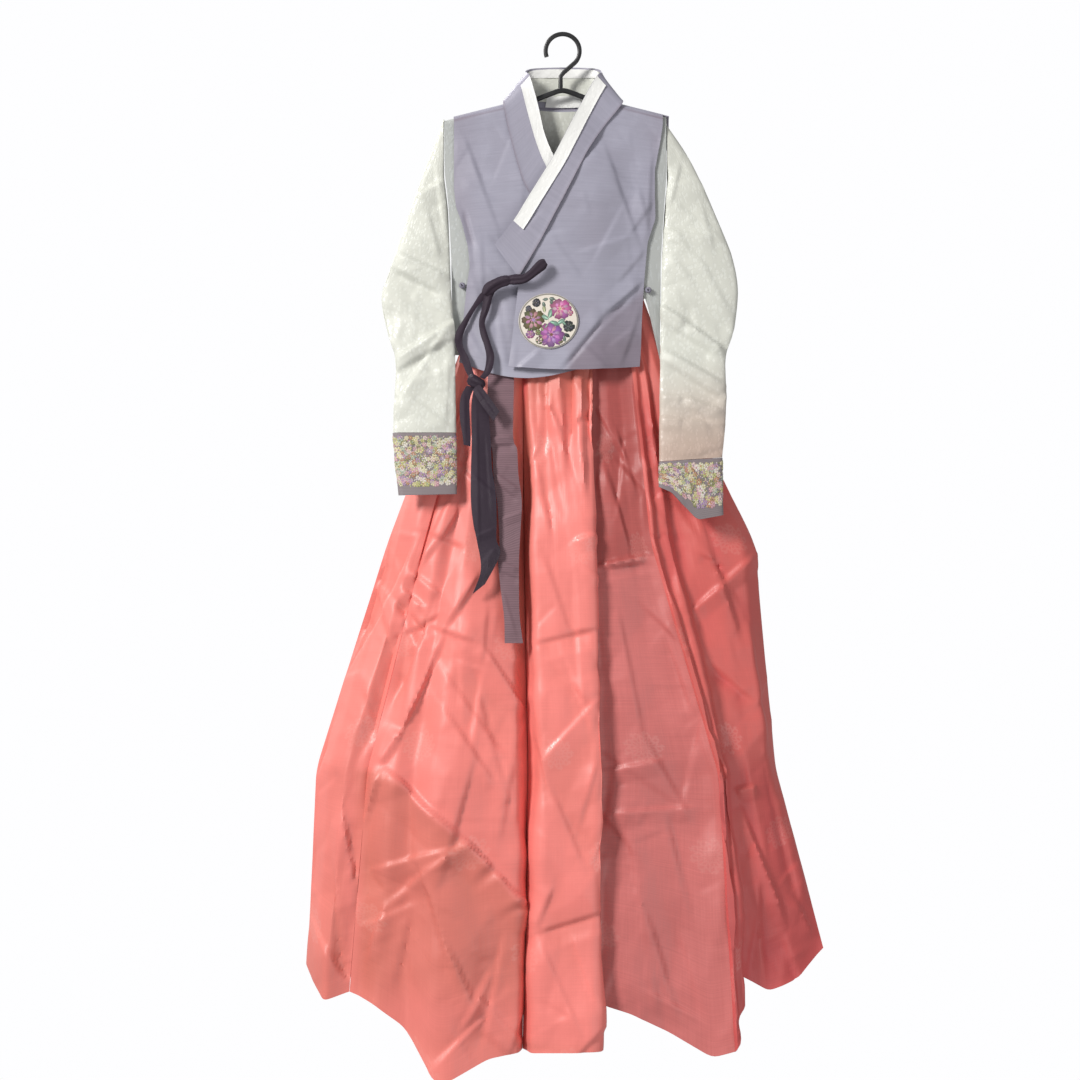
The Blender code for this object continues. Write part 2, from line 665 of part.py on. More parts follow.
def build_collar():
    whole = collar_grid("under_end", "over_end", 0.0, lambda row: 1.0, 4, 0.0)
    add_cloth("vest_collar", whole, COLLAR_WALL, "lavender_silk")
    lift = STRIP_WALL + STRIP_ABOVE_COLLAR
    over = collar_grid("right_front", "over_strip_end", 0.01, strip_share, 2, lift)
    add_cloth("dongjeong_over", over, STRIP_WALL, "white_strip")
    under = collar_grid("under_low", "left_front", 0.01, strip_share, 2, lift)
    add_cloth("dongjeong_under", under, STRIP_WALL, "white_strip")
    inside = collar_grid("left_front", "right_front", 0.06, lambda row: 0.82, 3,
                         -(COLLAR_WALL + IVORY_COLLAR_BEHIND))
    add_cloth("jeogori_collar", inside, IVORY_WALL, "ivory_satin")
    lift = -(COLLAR_WALL + IVORY_WALL + BACK_STRIP_BEHIND)
    strip = collar_grid("left_side", "right_side", 0.06, lambda row: 0.26, 2, lift)
    add_cloth("dongjeong_back", strip, STRIP_WALL, "white_strip")
    lift = -(COLLAR_WALL + IVORY_WALL + LABEL_BEHIND)
    label = collar_grid("back_left", "back_right", 0.68, lambda row: 0.95, 1, lift)
    middle = len(label) // 2
    add_cloth("neck_label", label[middle - 1:middle + 2], LABEL_WALL, "white_strip")


def build_medallion():
    """A round patch whose points are the over panel's, moved out."""
    rings, spokes = 4, 20
    shell = bmesh.new()
    centre = None
    loops = []
    for ring in range(rings + 1):
        loop = []
        for spoke in range(spokes if ring else 1):
            angle = 2.0 * math.pi * spoke / spokes
            x = MEDALLION_X + MEDALLION_HALF_WIDTH * ring / rings * math.cos(angle)
            drop = MEDALLION_DROP + MEDALLION_HALF_HEIGHT * ring / rings * math.sin(angle)
            y = -(front_depth(x, drop) + over_lift(x, drop) + MEDALLION_ON_PANEL)
            loop.append(shell.verts.new(place((x, y, drop))))
        if ring == 0:
            centre = loop[0]
        else:
            loops.append(loop)
    for spoke in range(spokes):
        after = (spoke + 1) % spokes
        shell.faces.new((centre, loops[0][after], loops[0][spoke]))
        for inner, outer in zip(loops, loops[1:]):
            shell.faces.new((inner[spoke], inner[after], outer[after], outer[spoke]))
    mesh = bpy.data.meshes.new("medallion")
    shell.to_mesh(mesh)
    shell.free()
    piece = add_object("medallion", mesh, "medallion_embroidery")
    wall = piece.modifiers.new("wall", "SOLIDIFY")
    wall.thickness = MEDALLION_WALL * MM
    wall.offset = -1.0


def add_lathe(name, x, drop, profile, sides, material_name):
    """A turned solid about a line along Y; the profile is (y, radius) from front to back."""
    shell = bmesh.new()
    loops = []
    for y, radius in profile:
        if radius == 0.0:
            loops.append([shell.verts.new(place((x, y, drop)))])
            continue
        loop = []
        for side in range(sides):
            angle = 2.0 * math.pi * side / sides
            point = (x + radius * math.cos(angle), y, drop - radius * math.sin(angle))
            loop.append(shell.verts.new(place(point)))
        loops.append(loop)
    for front, back in zip(loops, loops[1:]):
        for side in range(sides):
            after = (side + 1) % sides
            corners = [front[side % len(front)], front[after % len(front)],
                       back[after % len(back)], back[side % len(back)]]
            unique = [v for n, v in enumerate(corners) if v not in corners[:n]]
            shell.faces.new(unique)
    mesh = bpy.data.meshes.new(name)
    bmesh.ops.recalc_face_normals(shell, faces=shell.faces)
    shell.to_mesh(mesh)
    shell.free()
    return add_object(name, mesh, material_name)


def ball_profile(front_y, radius, count=6):
    """Front half and most of the back half of a ball, as (y, radius)."""
    profile = []
    for step in range(count):
        angle = math.pi * step / count
        profile.append((front_y + radius * (1.0 - math.cos(angle)), radius * math.sin(angle)))
    profile[0] = (front_y, 0.0)
    return profile


def build_side_knots():
    """Knot buttons on the vest's sides, each on its short stem."""
    for name, x, drop in (("knot_right", -150.5, 376.0), ("knot_left", 128.0, 383.0)):
        front = -(front_depth(x, drop) + 2.0 * KNOT_RADIUS + KNOT_STAND_OFF)
        back = -(front_depth(x, drop) + KNOT_GAP)
        profile = ball_profile(front, KNOT_RADIUS)
        profile.append((front + 1.9 * KNOT_RADIUS, KNOT_CORD_RADIUS))
        profile.append((back, KNOT_CORD_RADIUS))
        profile.append((back, 0.0))
        add_lathe(name, x, drop, profile, 10, "lavender_silk")


def level_value(fold, drop, axis):
    """x or y of a fold line where it crosses a drop, on straight runs between levels."""
    hip, knee, shin, hem = (getattr(fold, level + "_" + axis)
                            for level in ("hip", "knee", "shin", "hem"))
    scale = TOP_NARROWING if axis == "x" else TOP_FLATTENING
    stops = [(SKIRT_TOP, hip * scale), (HIP, hip), (KNEE, knee), (SHIN, shin),
             (fold.hem_drop, hem)]
    for (upper, start), (lower, end) in zip(stops, stops[1:]):
        if drop <= lower:
            return mix(start, end, (drop - upper) / (lower - upper))
    return hem


def fold_column(fold):
    """Points down one fold line, from the band to the hem."""
    drops = list(SKIRT_LEVELS)
    drops += [mix(SHIN, fold.hem_drop, share) for share in SKIRT_LOW_STEPS]
    return [(level_value(fold, drop, "x"), level_value(fold, drop, "y"), drop)
            for drop in drops]


def columns_to_grid(columns):
    return [list(row) for row in zip(*columns)]


def front_folds(first, last):
    start, end = FOLD_ORDER.index(first), FOLD_ORDER.index(last)
    return [FRONT_FOLDS[name] for name in FOLD_ORDER[start:end + 1]]


def back_folds(edge, lap):
    """Fold lines across the back, from a side edge to the end of the lap."""
    folds = []
    for index in range(BACK_FOLDS + 1):
        share = index / BACK_FOLDS
        values = {}
        for level, lap_x in (("hip", lap.lap_hip), ("knee", None), ("shin", None),
                             ("hem", lap.lap_hem)):
            if lap_x is None:
                lap_x = mix(lap.lap_hip, lap.lap_hem, 0.5)
            edge_x = getattr(edge, level + "_x")
            x = mix(edge_x, lap_x, share)
            swell = 1.0 - abs(x / edge_x) ** 2.5 if x * edge_x > 0 else 1.0
            wave = BACK_FOLD_DEPTH[level] * (1 if index % 2 else -1) * math.sin(math.pi * share)
            y = getattr(edge, level + "_y") + getattr(lap, level + "_y") * swell + wave
            values[level + "_x"] = x
            values[level + "_y"] = y
        wave_drop = 8.0 * (1 if index % 2 else -1) * math.sin(math.pi * share)
        values["hem_drop"] = mix(lap.edge_drop, lap.hem_drop, min(share * 2.0, 1.0)) + wave_drop
        folds.append(FoldRow(**values))
    shifted = {level + "_y": getattr(edge, level + "_y") + gap
               for level, gap in SIDE_GAPS.items()}
    folds[0] = edge._replace(**shifted)
    return folds


def add_skirt_panel(name, folds, material_name, gap_at_start=True, gap_at_end=True):
    grid = columns_to_grid([fold_column(fold) for fold in folds])
    grid = trimmed(grid, gap_at_start, gap_at_end)
    add_cloth(name, grid, SKIRT_WALL, material_name)


def build_skirt():
    coral, rose = "coral_organza", "rose_organza"
    add_skirt_panel("skirt_front_right", front_folds("left_edge", "left_dip"), coral)
    add_skirt_panel("skirt_front_low", front_folds("left_dip", "valley"), coral)
    add_skirt_panel("skirt_front_centre", front_folds("valley", "centre_under"), coral)
    add_skirt_panel("skirt_front_rose", front_folds("centre_under", "rose_edge"), rose)
    add_skirt_panel("skirt_front_left", front_folds("rose_edge", "right_edge"), coral)
    under = back_folds(FRONT_FOLDS["right_edge"], BACK_UNDER)
    over = back_folds(FRONT_FOLDS["left_edge"], BACK_OVER)
    add_skirt_panel("skirt_back_left", under[:BACK_SEAM + 1], coral)
    add_skirt_panel("skirt_back_under", under[BACK_SEAM:], coral)
    over.reverse()
    add_skirt_panel("skirt_back_right", over[BACK_FOLDS - BACK_SEAM:], coral)
    add_skirt_panel("skirt_back_over", over[:BACK_FOLDS - BACK_SEAM + 1], coral)


def build_skirt_band():
    """Chest band, wrapped once round and lapped at the back like the skirt below it."""
    steps, start, turn = 30, math.radians(-66.0), math.radians(406.0)
    columns = []
    for index in range(steps + 1):
        share = index / steps
        angle = start - turn * share
        cosine, sine = math.cos(angle), math.sin(angle)
        x = BAND_HALF_WIDTH * math.copysign(abs(cosine) ** 0.6, cosine)
        depth = BAND_BACK_DEPTH + BAND_LAP_LIFT * (1.0 - share)
        depth = depth if sine < 0 else BAND_FRONT_DEPTH
        y = -depth * math.copysign(abs(sine) ** 0.6, sine)
        columns.append([(x, y, drop) for drop in (BAND_TOP, BAND_BOTTOM)])
    add_cloth("skirt_band", columns_to_grid(columns), BAND_WALL, "ivory_satin")


def build_straps():
    """Shoulder straps of the skirt, over the hanger's arms."""
    for name, side in (("strap_right", -1.0), ("strap_left", 1.0)):
        grid = []
        edges = [side * STRAP_X - STRAP_WIDTH / 2.0, side * STRAP_X + STRAP_WIDTH / 2.0]
        low_end = BAND_TOP - STRAP_GAP
        arc = []
        for step in range(7):
            angle = math.pi * step / 6.0
            arc.append((-math.cos(angle), -math.sin(angle)))
        top = ARM_RADIUS + STRAP_GAP + STRAP_WALL
        rows = [(STRAP_FRONT_Y, None)]
        rows += [(cosine * top, sine * top) for cosine, sine in arc]
        rows += [(STRAP_BACK_Y, None)]
        for y, rise in reversed(rows):
            row = []
            for x in edges:
                arm = shoulder_drop(x) + ARM_BELOW_VEST
                row.append((x, y, low_end if rise is None else arm + rise))
            grid.append(row)
        add_cloth(name, grid, STRAP_WALL, "ivory_satin")


def add_tube(name, path, radius, sides, material_name):
    """A round bar along a path of (x, drop) points in the plane of the hanger."""
    shell = bmesh.new()
    loops = []
    for index, (x, drop) in enumerate(path):
        before = path[max(index - 1, 0)]
        after = path[min(index + 1, len(path) - 1)]
        along = Vector((after[0] - before[0], 0.0, after[1] - before[1])).normalized()
        across = along.cross(Vector((0.0, 1.0, 0.0)))
        loop = []
        for side in range(sides):
            angle = 2.0 * math.pi * side / sides
            offset = across * (radius * math.cos(angle))
            point = (x + offset.x, radius * math.sin(angle), drop + offset.z)
            loop.append(shell.verts.new(place(point)))
        loops.append(loop)
    for first, second in zip(loops, loops[1:]):
        for side in range(sides):
            after = (side + 1) % sides
            shell.faces.new((first[side], first[after], second[after], second[side]))
    shell.faces.new(loops[0])
    shell.faces.new(loops[-1])
    bmesh.ops.recalc_face_normals(shell, faces=shell.faces)
    mesh = bpy.data.meshes.new(name)
    shell.to_mesh(mesh)
    shell.free()
    return add_object(name, mesh, material_name)


def build_hanger():
    arm = []
    for x in (-ARM_TIP_X, -NECK_POINT_X, -45.0, -15.0, 0.0, 15.0, 45.0, NECK_POINT_X, ARM_TIP_X):
        if abs(x) < NECK_POINT_X:
            low = shoulder_drop(NECK_POINT_X) + ARM_BELOW_VEST
            drop = mix(APEX_DROP, low, (abs(x) / NECK_POINT_X) ** 1.05)
        else:
            drop = shoulder_drop(x) + ARM_BELOW_VEST
        arm.append((x, drop))
    hanger = add_tube("hanger", arm, ARM_RADIUS, 10, "hanger_black")
    radius = HOOK_INNER_RADIUS + HOOK_WIRE_RADIUS
    hook = [(STEM_X, APEX_DROP + 1.0), (STEM_X, APEX_DROP - 20.0), (2.0, APEX_DROP - 26.0)]
    steps = 16
    for step in range(steps + 1):
        angle = math.radians(mix(HOOK_START_DEG, HOOK_END_DEG, step / steps))
        hook.append((radius * math.cos(angle), HOOK_INNER_RADIUS - radius * math.sin(angle)))
    stem = add_tube("hook_guide", hook, HOOK_WIRE_RADIUS, 10, "hanger_black")
    stem.hide_render = True
    stem.display_type = "WIRE"
    union = hanger.modifiers.new("hook", "BOOLEAN")
    union.operation = "UNION"
    union.object = stem


def build_ribbons():
    for name, (material_name, rows) in RIBBONS.items():
        grid = []
        for row in rows:
            middle_x, middle_drop = (row.a_x + row.b_x) / 2.0, (row.a_drop + row.b_drop) / 2.0
            middle = (middle_x, row.y - RIBBON_BOW, middle_drop)
            grid.append([(row.a_x, row.y, row.a_drop), middle, (row.b_x, row.y, row.b_drop)])
        add_cloth(name, grid, RIBBON_WALL, material_name)


def build_tie_knots():
    """The two knots of the ties, as plain rounded bodies."""
    for name, x, drop, front, radius in (("tie_knot_upper", -106.5, 379.0, -41.0, 7.5),
                                         ("tie_knot_lower", -129.5, 523.0, -55.0, 8.5)):
        profile = [(front + radius * 0.6 * (1.0 - math.cos(a)), radius * math.sin(a))
                   for a in (math.pi * step / 6.0 for step in range(7))]
        profile[0] = (front, 0.0)
        profile[-1] = (front + radius * 1.2, 0.0)
        add_lathe(name, x, drop, profile, 12, "plum_ribbon")


def main():
    for item in list(bpy.data.objects):
        bpy.data.objects.remove(item)
    build_hanger()
    build_skirt()
    build_skirt_band()
    build_straps()
    build_jeogori()
    build_sleeves()
    build_vest()
    build_collar()
    build_medallion()
    build_side_knots()
    build_ribbons()
    build_tie_knots()


main()
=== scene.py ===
import math
import random

import bpy
import numpy as np
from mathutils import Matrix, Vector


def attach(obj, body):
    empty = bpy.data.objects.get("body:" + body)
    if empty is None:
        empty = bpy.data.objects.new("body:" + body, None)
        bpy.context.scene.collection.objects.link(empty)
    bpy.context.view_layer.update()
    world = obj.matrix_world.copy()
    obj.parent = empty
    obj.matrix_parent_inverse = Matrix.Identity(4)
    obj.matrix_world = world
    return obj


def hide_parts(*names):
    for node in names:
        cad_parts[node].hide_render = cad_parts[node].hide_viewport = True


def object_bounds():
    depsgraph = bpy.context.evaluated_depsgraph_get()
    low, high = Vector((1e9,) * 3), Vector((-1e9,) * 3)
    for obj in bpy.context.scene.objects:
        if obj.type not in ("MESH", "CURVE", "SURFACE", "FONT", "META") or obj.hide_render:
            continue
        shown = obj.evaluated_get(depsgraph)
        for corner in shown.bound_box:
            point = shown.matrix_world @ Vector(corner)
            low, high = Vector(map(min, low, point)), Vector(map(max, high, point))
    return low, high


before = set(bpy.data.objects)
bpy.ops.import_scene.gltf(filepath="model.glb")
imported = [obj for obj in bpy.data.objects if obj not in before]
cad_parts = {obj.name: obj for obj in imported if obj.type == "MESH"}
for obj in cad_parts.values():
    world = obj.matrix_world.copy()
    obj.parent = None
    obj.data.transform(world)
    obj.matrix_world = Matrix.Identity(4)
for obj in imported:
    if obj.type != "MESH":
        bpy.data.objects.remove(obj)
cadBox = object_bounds()
print("frame loaded:", len(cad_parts), "nodes")

# Places are in millimetres from the hang point: x to the wearer's left, y to the back, and
# "drop" downwards. They become metres when a mesh is written.


# small helpers
def mix(start, end, share):
    return start + (end - start) * share


def ramp(value, start, end):
    share = np.clip((value - start) / (end - start), 0.0, 1.0)
    return share * share * (3.0 - 2.0 * share)


def deselectAll():
    if bpy.context.object and bpy.context.object.mode != "OBJECT":
        bpy.ops.object.mode_set(mode="OBJECT")
    bpy.ops.object.select_all(action="DESELECT")


def applyAll(piece):
    deselectAll()
    bpy.context.view_layer.objects.active = piece
    piece.select_set(True)
    for modifier in list(piece.modifiers):
        bpy.ops.object.modifier_apply(modifier=modifier.name)


def softened(values, reach, axis, closed=False):
    # a running average, which rounds folds over a number of points
    if reach < 1:
        return values
    values = np.moveaxis(values, axis, 0)
    reach = min(reach, len(values) - 1)
    if closed:
        before, after = values[-reach:], values[:reach]
    else:
        before = 2 * values[:1] - values[reach:0:-1]
        after = 2 * values[-1:] - values[-2:-reach - 2:-1]
    longer = np.concatenate([before, values, after])
    weights = np.hanning(2 * reach + 3)[1:-1]
    weights = weights / weights.sum()
    result = sum(weight * longer[index:index + len(values)]
                 for index, weight in enumerate(weights))
    return np.moveaxis(result, 0, axis)


def evenly(grid, step, axis):
    # resamples a grid of points along one axis, at even steps of length
    grid = np.moveaxis(grid, axis, 0)
    lengths = np.linalg.norm(np.diff(grid, axis=0), axis=2).mean(axis=1)
    along = np.concatenate([[0.0], np.cumsum(lengths)])
    count = max(int(round(along[-1] / step)), 2)
    wanted = np.linspace(0.0, along[-1], count + 1)
    index = np.clip(np.searchsorted(along, wanted, side="right") - 1, 0, len(lengths) - 1)
    share = ((wanted - along[index]) / lengths[index])[:, None, None]
    return np.moveaxis(mix(grid[index], grid[index + 1], share), 0, axis)


def refined(rows, step, roundDown, roundAcross, closed=False):
    # a fine cloth grid from a coarse one, its folds rounded over the given lengths
    grid = np.array(rows, float)
    if closed:
        grid = np.concatenate([grid, grid[:, :1]], axis=1)
    grid = evenly(evenly(grid, step, 0), step, 1)
    grid = softened(grid, int(roundDown / step), 0)
    if closed:
        ring = softened(grid[:, :-1], int(roundAcross / step), 1, True)
        return np.concatenate([ring, ring[:, :1]], axis=1)
    return softened(grid, int(roundAcross / step), 1)


def outward(grid):
    # unit normals on the outer side of a grid
    down = np.gradient(grid, axis=0)
    across = np.gradient(grid, axis=1)
    down[..., 2] *= -1.0
    across[..., 2] *= -1.0
    normal = np.cross(down, across)
    normal /= np.maximum(np.linalg.norm(normal, axis=2, keepdims=True), 1e-9)
    normal[..., 2] *= -1.0
    return normal


def pushed(grid, heights):
    # moves the cloth out by the heights
    return grid + outward(grid) * heights[..., None]


# a crease's steep side and its flat side, as shares of its width, and the steep side's limit
creaseShape = {
    "steepShare": 0.6,
    "steepMost": 5.5,
    "flatShare": 2.2,
}
facetKnots = 48               # scattered heights each way before the facets repeat


def creases(x, drop, rows):
    # ridges and troughs, each from startX, startDrop to endX, endDrop, width, height: steep on
    # one side and flat on the other, as in stiff cloth
    field = np.zeros(x.shape)
    for startX, startDrop, endX, endDrop, width, height in rows:
        alongX, alongDrop = endX - startX, endDrop - startDrop
        length = math.hypot(alongX, alongDrop)
        share = ((x - startX) * alongX + (drop - startDrop) * alongDrop) / length ** 2
        near = np.clip(share, 0.0, 1.0)
        offX, offDrop = x - startX - near * alongX, drop - startDrop - near * alongDrop
        steep = min(creaseShape["steepShare"] * width, creaseShape["steepMost"])
        flat = creaseShape["flatShare"] * width
        flank = np.where(offX * alongDrop - offDrop * alongX > 0.0, steep, flat)
        away = np.hypot(offX, offDrop) / flank
        taper = np.clip(np.minimum(near, 1.0 - near) * 4.0 + 0.2, 0.0, 1.0)
        field += height * taper * np.clip(1.0 - away, 0.0, 1.0)
    return field


def strewn(seed, count, area, lengths, widths, heights, lean, spread):
    # rows for creases(), drawn with a seed over an area; lean is in degrees from upright
    draw = random.Random(seed)
    rows = []
    for _ in range(count):
        middleX, middleDrop = draw.uniform(area[0], area[2]), draw.uniform(area[1], area[3])
        half = 0.5 * draw.uniform(*lengths)
        angle = math.radians(draw.gauss(lean, spread))
        reachX, reachDrop = half * math.sin(angle), half * math.cos(angle)
        height = draw.uniform(*heights) * draw.choice((-1.0, 1.0))
        rows.append((middleX - reachX, middleDrop - reachDrop, middleX + reachX,
                     middleDrop + reachDrop, draw.uniform(*widths), height))
    return rows


def facets(x, drop, seed, cellX, cellDrop, lean, height):
    # flat triangles between scattered points of different heights, as in crumpled stiff cloth
    draw = random.Random(seed)
    knots = np.array([[draw.uniform(-1.0, 1.0) for _ in range(facetKnots)]
                      for _ in range(facetKnots)])
    turn = math.radians(lean)
    across = (x * math.cos(turn) + drop * math.sin(turn)) / cellX
    down = (drop * math.cos(turn) - x * math.sin(turn)) / cellDrop
    across = across + 0.25 * np.sin(down * 2.1 + seed) + 0.5 * down
    column, row = np.floor(across).astype(int), np.floor(down).astype(int)
    u, v = across - column, down - row
    left, right = column % facetKnots, (column + 1) % facetKnots
    top, low = row % facetKnots, (row + 1) % facetKnots
    near, far = knots[top, left], knots[low, right]
    upper = near + (knots[top, right] - near) * u + (far - knots[top, right]) * v
    under = near + (knots[low, left] - near) * v + (far - knots[low, left]) * u
    return height * np.where(u >= v, upper, under)


def addCloth(name, grid, wall, material, closed=False, tone=None):
    # a grid primitive whose points are moved onto the cloth's outer face, then given a wall
    rows, columns = grid.shape[0] - 1, grid.shape[1] - 1
    deselectAll()
    bpy.ops.mesh.primitive_grid_add(x_subdivisions=columns, y_subdivisions=rows, size=2.0)
    piece = bpy.context.object
    piece.name = name
    mesh = piece.data
    mesh.name = name
    flat = np.empty(len(mesh.vertices) * 3)
    mesh.vertices.foreach_get("co", flat)
    flat = flat.reshape(-1, 3)
    column = np.rint((flat[:, 0] + 1.0) * 0.5 * columns).astype(int)
    row = np.rint((1.0 - flat[:, 1]) * 0.5 * rows).astype(int)
    places = grid[row, column] * 0.001
    places[:, 2] *= -1.0
    mesh.vertices.foreach_set("co", places.astype(np.float32).ravel())
    # the UV map is the flat cloth, in metres
    across = np.linalg.norm(np.diff(grid, axis=1), axis=2).cumsum(axis=1)
    across = np.pad(across, ((0, 0), (1, 0))).mean(axis=0) * 0.001
    down = np.linalg.norm(np.diff(grid, axis=0), axis=2).cumsum(axis=0)
    down = np.pad(down, ((1, 0), (0, 0))).mean(axis=1) * 0.001
    corners = np.empty(len(mesh.loops), int)
    mesh.loops.foreach_get("vertex_index", corners)
    flatPlaces = np.stack([across[column[corners]], -down[row[corners]]], axis=1)
    mesh.uv_layers[0].uv.foreach_set("vector", flatPlaces.astype(np.float32).ravel())
    if tone is not None:
        layer = mesh.attributes.new("tone", "FLOAT", "POINT")
        layer.data.foreach_set("value", tone[row, column].astype(np.float32))
    if closed:
        bpy.ops.object.mode_set(mode="EDIT")
        bpy.ops.mesh.select_all(action="SELECT")
        bpy.ops.mesh.remove_doubles(threshold=0.00002)
        bpy.ops.object.mode_set(mode="OBJECT")
    mesh.materials.append(material)
    thickness = piece.modifiers.new("wall", "SOLIDIFY")
    thickness.thickness = wall * 0.001
    thickness.offset = -1.0
    applyAll(piece)
    bpy.ops.object.shade_smooth_by_angle(angle=math.radians(50))
    return piece


def settle(piece, slot, *nodes):
    # one piece takes the place of its nodes, on the part's only body
    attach(piece, "root")
    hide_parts(*nodes)


# material helpers
def newMaterial(name, roughness, sheen=0.0, sheenTint=(1.0, 1.0, 1.0), coat=0.0):
    material = bpy.data.materials.new(name)
    material.use_nodes = True
    shader = material.node_tree.nodes["Principled BSDF"]
    shader.inputs["Roughness"].default_value = roughness
    shader.inputs["Sheen Weight"].default_value = sheen
    shader.inputs["Sheen Roughness"].default_value = 0.45
    shader.inputs["Sheen Tint"].default_value = (*sheenTint, 1.0)
    shader.inputs["Coat Weight"].default_value = coat
    return material, material.node_tree, shader


def feed(tree, socket, value):
    if isinstance(value, bpy.types.NodeSocket):
        tree.links.new(value, socket)
    elif isinstance(value, tuple) and len(value) == 3 and socket.type == "RGBA":
        socket.default_value = (*value, 1.0)
    else:
        socket.default_value = value


def calc(tree, operation, first, second=0.0, third=0.0):
    step = tree.nodes.new("ShaderNodeMath")
    step.operation = operation
    for socket, value in zip(step.inputs, (first, second, third)):
        feed(tree, socket, value)
    return step.outputs[0]


def between(tree, value, low, high, start=0.0, end=1.0):
    step = tree.nodes.new("ShaderNodeMapRange")
    step.interpolation_type = "SMOOTHSTEP"
    for socket, given in zip(step.inputs, (value, low, high, start, end)):
        feed(tree, socket, given)
    return step.outputs[0]


def colourMix(tree, share, first, second, way="MIX"):
    step = tree.nodes.new("ShaderNodeMix")
    step.data_type = "RGBA"
    step.blend_type = way
    feed(tree, step.inputs[0], share)
    feed(tree, step.inputs[6], first)
    feed(tree, step.inputs[7], second)
    return step.outputs[2]


def flatCloth(tree, scale=(1.0, 1.0, 1.0), place=(0.0, 0.0, 0.0), turn=0.0):
    # the piece's own UV map, moved and scaled
    source = tree.nodes.new("ShaderNodeTexCoord")
    step = tree.nodes.new("ShaderNodeMapping")
    tree.links.new(source.outputs["UV"], step.inputs["Vector"])
    step.inputs["Location"].default_value = place
    step.inputs["Rotation"].default_value = (0.0, 0.0, math.radians(turn))
    step.inputs["Scale"].default_value = scale
    return step.outputs[0]


def cloudy(tree, vector, scale, detail=3.0, rough=0.5):
    step = tree.nodes.new("ShaderNodeTexNoise")
    tree.links.new(vector, step.inputs["Vector"])
    step.inputs["Scale"].default_value = scale
    step.inputs["Detail"].default_value = detail
    step.inputs["Roughness"].default_value = rough
    return step.outputs["Fac"]


def threads(tree, vector, pitch, direction="Y", distortion=0.0):
    # straight threads at a pitch in metres
    step = tree.nodes.new("ShaderNodeTexWave")
    step.wave_type = "BANDS"
    step.bands_direction = direction
    tree.links.new(vector, step.inputs["Vector"])
    step.inputs["Scale"].default_value = 0.314 / pitch
    step.inputs["Distortion"].default_value = distortion
    step.inputs["Detail"].default_value = 1.0
    return step.outputs["Fac"]


def bumped(tree, shader, height, distance, strength=1.0, earlier=None):
    step = tree.nodes.new("ShaderNodeBump")
    step.inputs["Distance"].default_value = distance
    step.inputs["Strength"].default_value = strength
    tree.links.new(height, step.inputs["Height"])
    if earlier is not None:
        tree.links.new(earlier, step.inputs["Normal"])
    tree.links.new(step.outputs[0], shader.inputs["Normal"])
    return step.outputs[0]


def toneOf(tree):
    step = tree.nodes.new("ShaderNodeAttribute")
    step.attribute_name = "tone"
    return step.outputs["Fac"]


# coral skirt
skirt = {
    "top": 395.0,
    "levels": (395.0, 450.0, 505.0, 570.0, 640.0, 700.0, 760.0, 850.0, 950.0, 1030.0, 1100.0),
    "wall": 1.2,
    "frontStep": 3.5,
    "backStep": 9.0,
    "coral": (0.84, 0.220, 0.192),
    # the deep and dull corals are where painted shade goes: troughs, below the left fold, under the vest
    # hem and over the right-hand panel
    "coralDeep": (0.62, 0.085, 0.088),
    "coralDull": (0.62, 0.165, 0.125),
    "rose": (0.56, 0.150, 0.140),
    "roseDark": (0.36, 0.065, 0.058),
    "topWidth": 0.75,         # the gathered top's x and y, as shares of the hip's
    "topDepth": 0.5,
    "creaseScale": 1.25,
    # lengths, widths, heights, lean and spread of the creases strewn over the cloth
    "largeCreases": ((90, 260), (16, 40), (2.0, 5.0), 8, 30),
    "smallCreases": ((20, 80), (4, 10), (0.6, 1.8), 20, 50),
    # seed, cell width, cell height, lean and height of its flat facets
    "largeFacets": (7, 62.0, 118.0, -14.0, 7.0),
    "smallFacets": (8, 34.0, 52.0, 38.0, 2.2),
    # painted shade: troughs are painted darker than ridges
    "troughShade": 0.09,      # how much duller a trough is than a ridge
    "flowerPitch": 0.19,      # metres between the woven flowers
    "flowerSize": 0.024,      # their radius
}

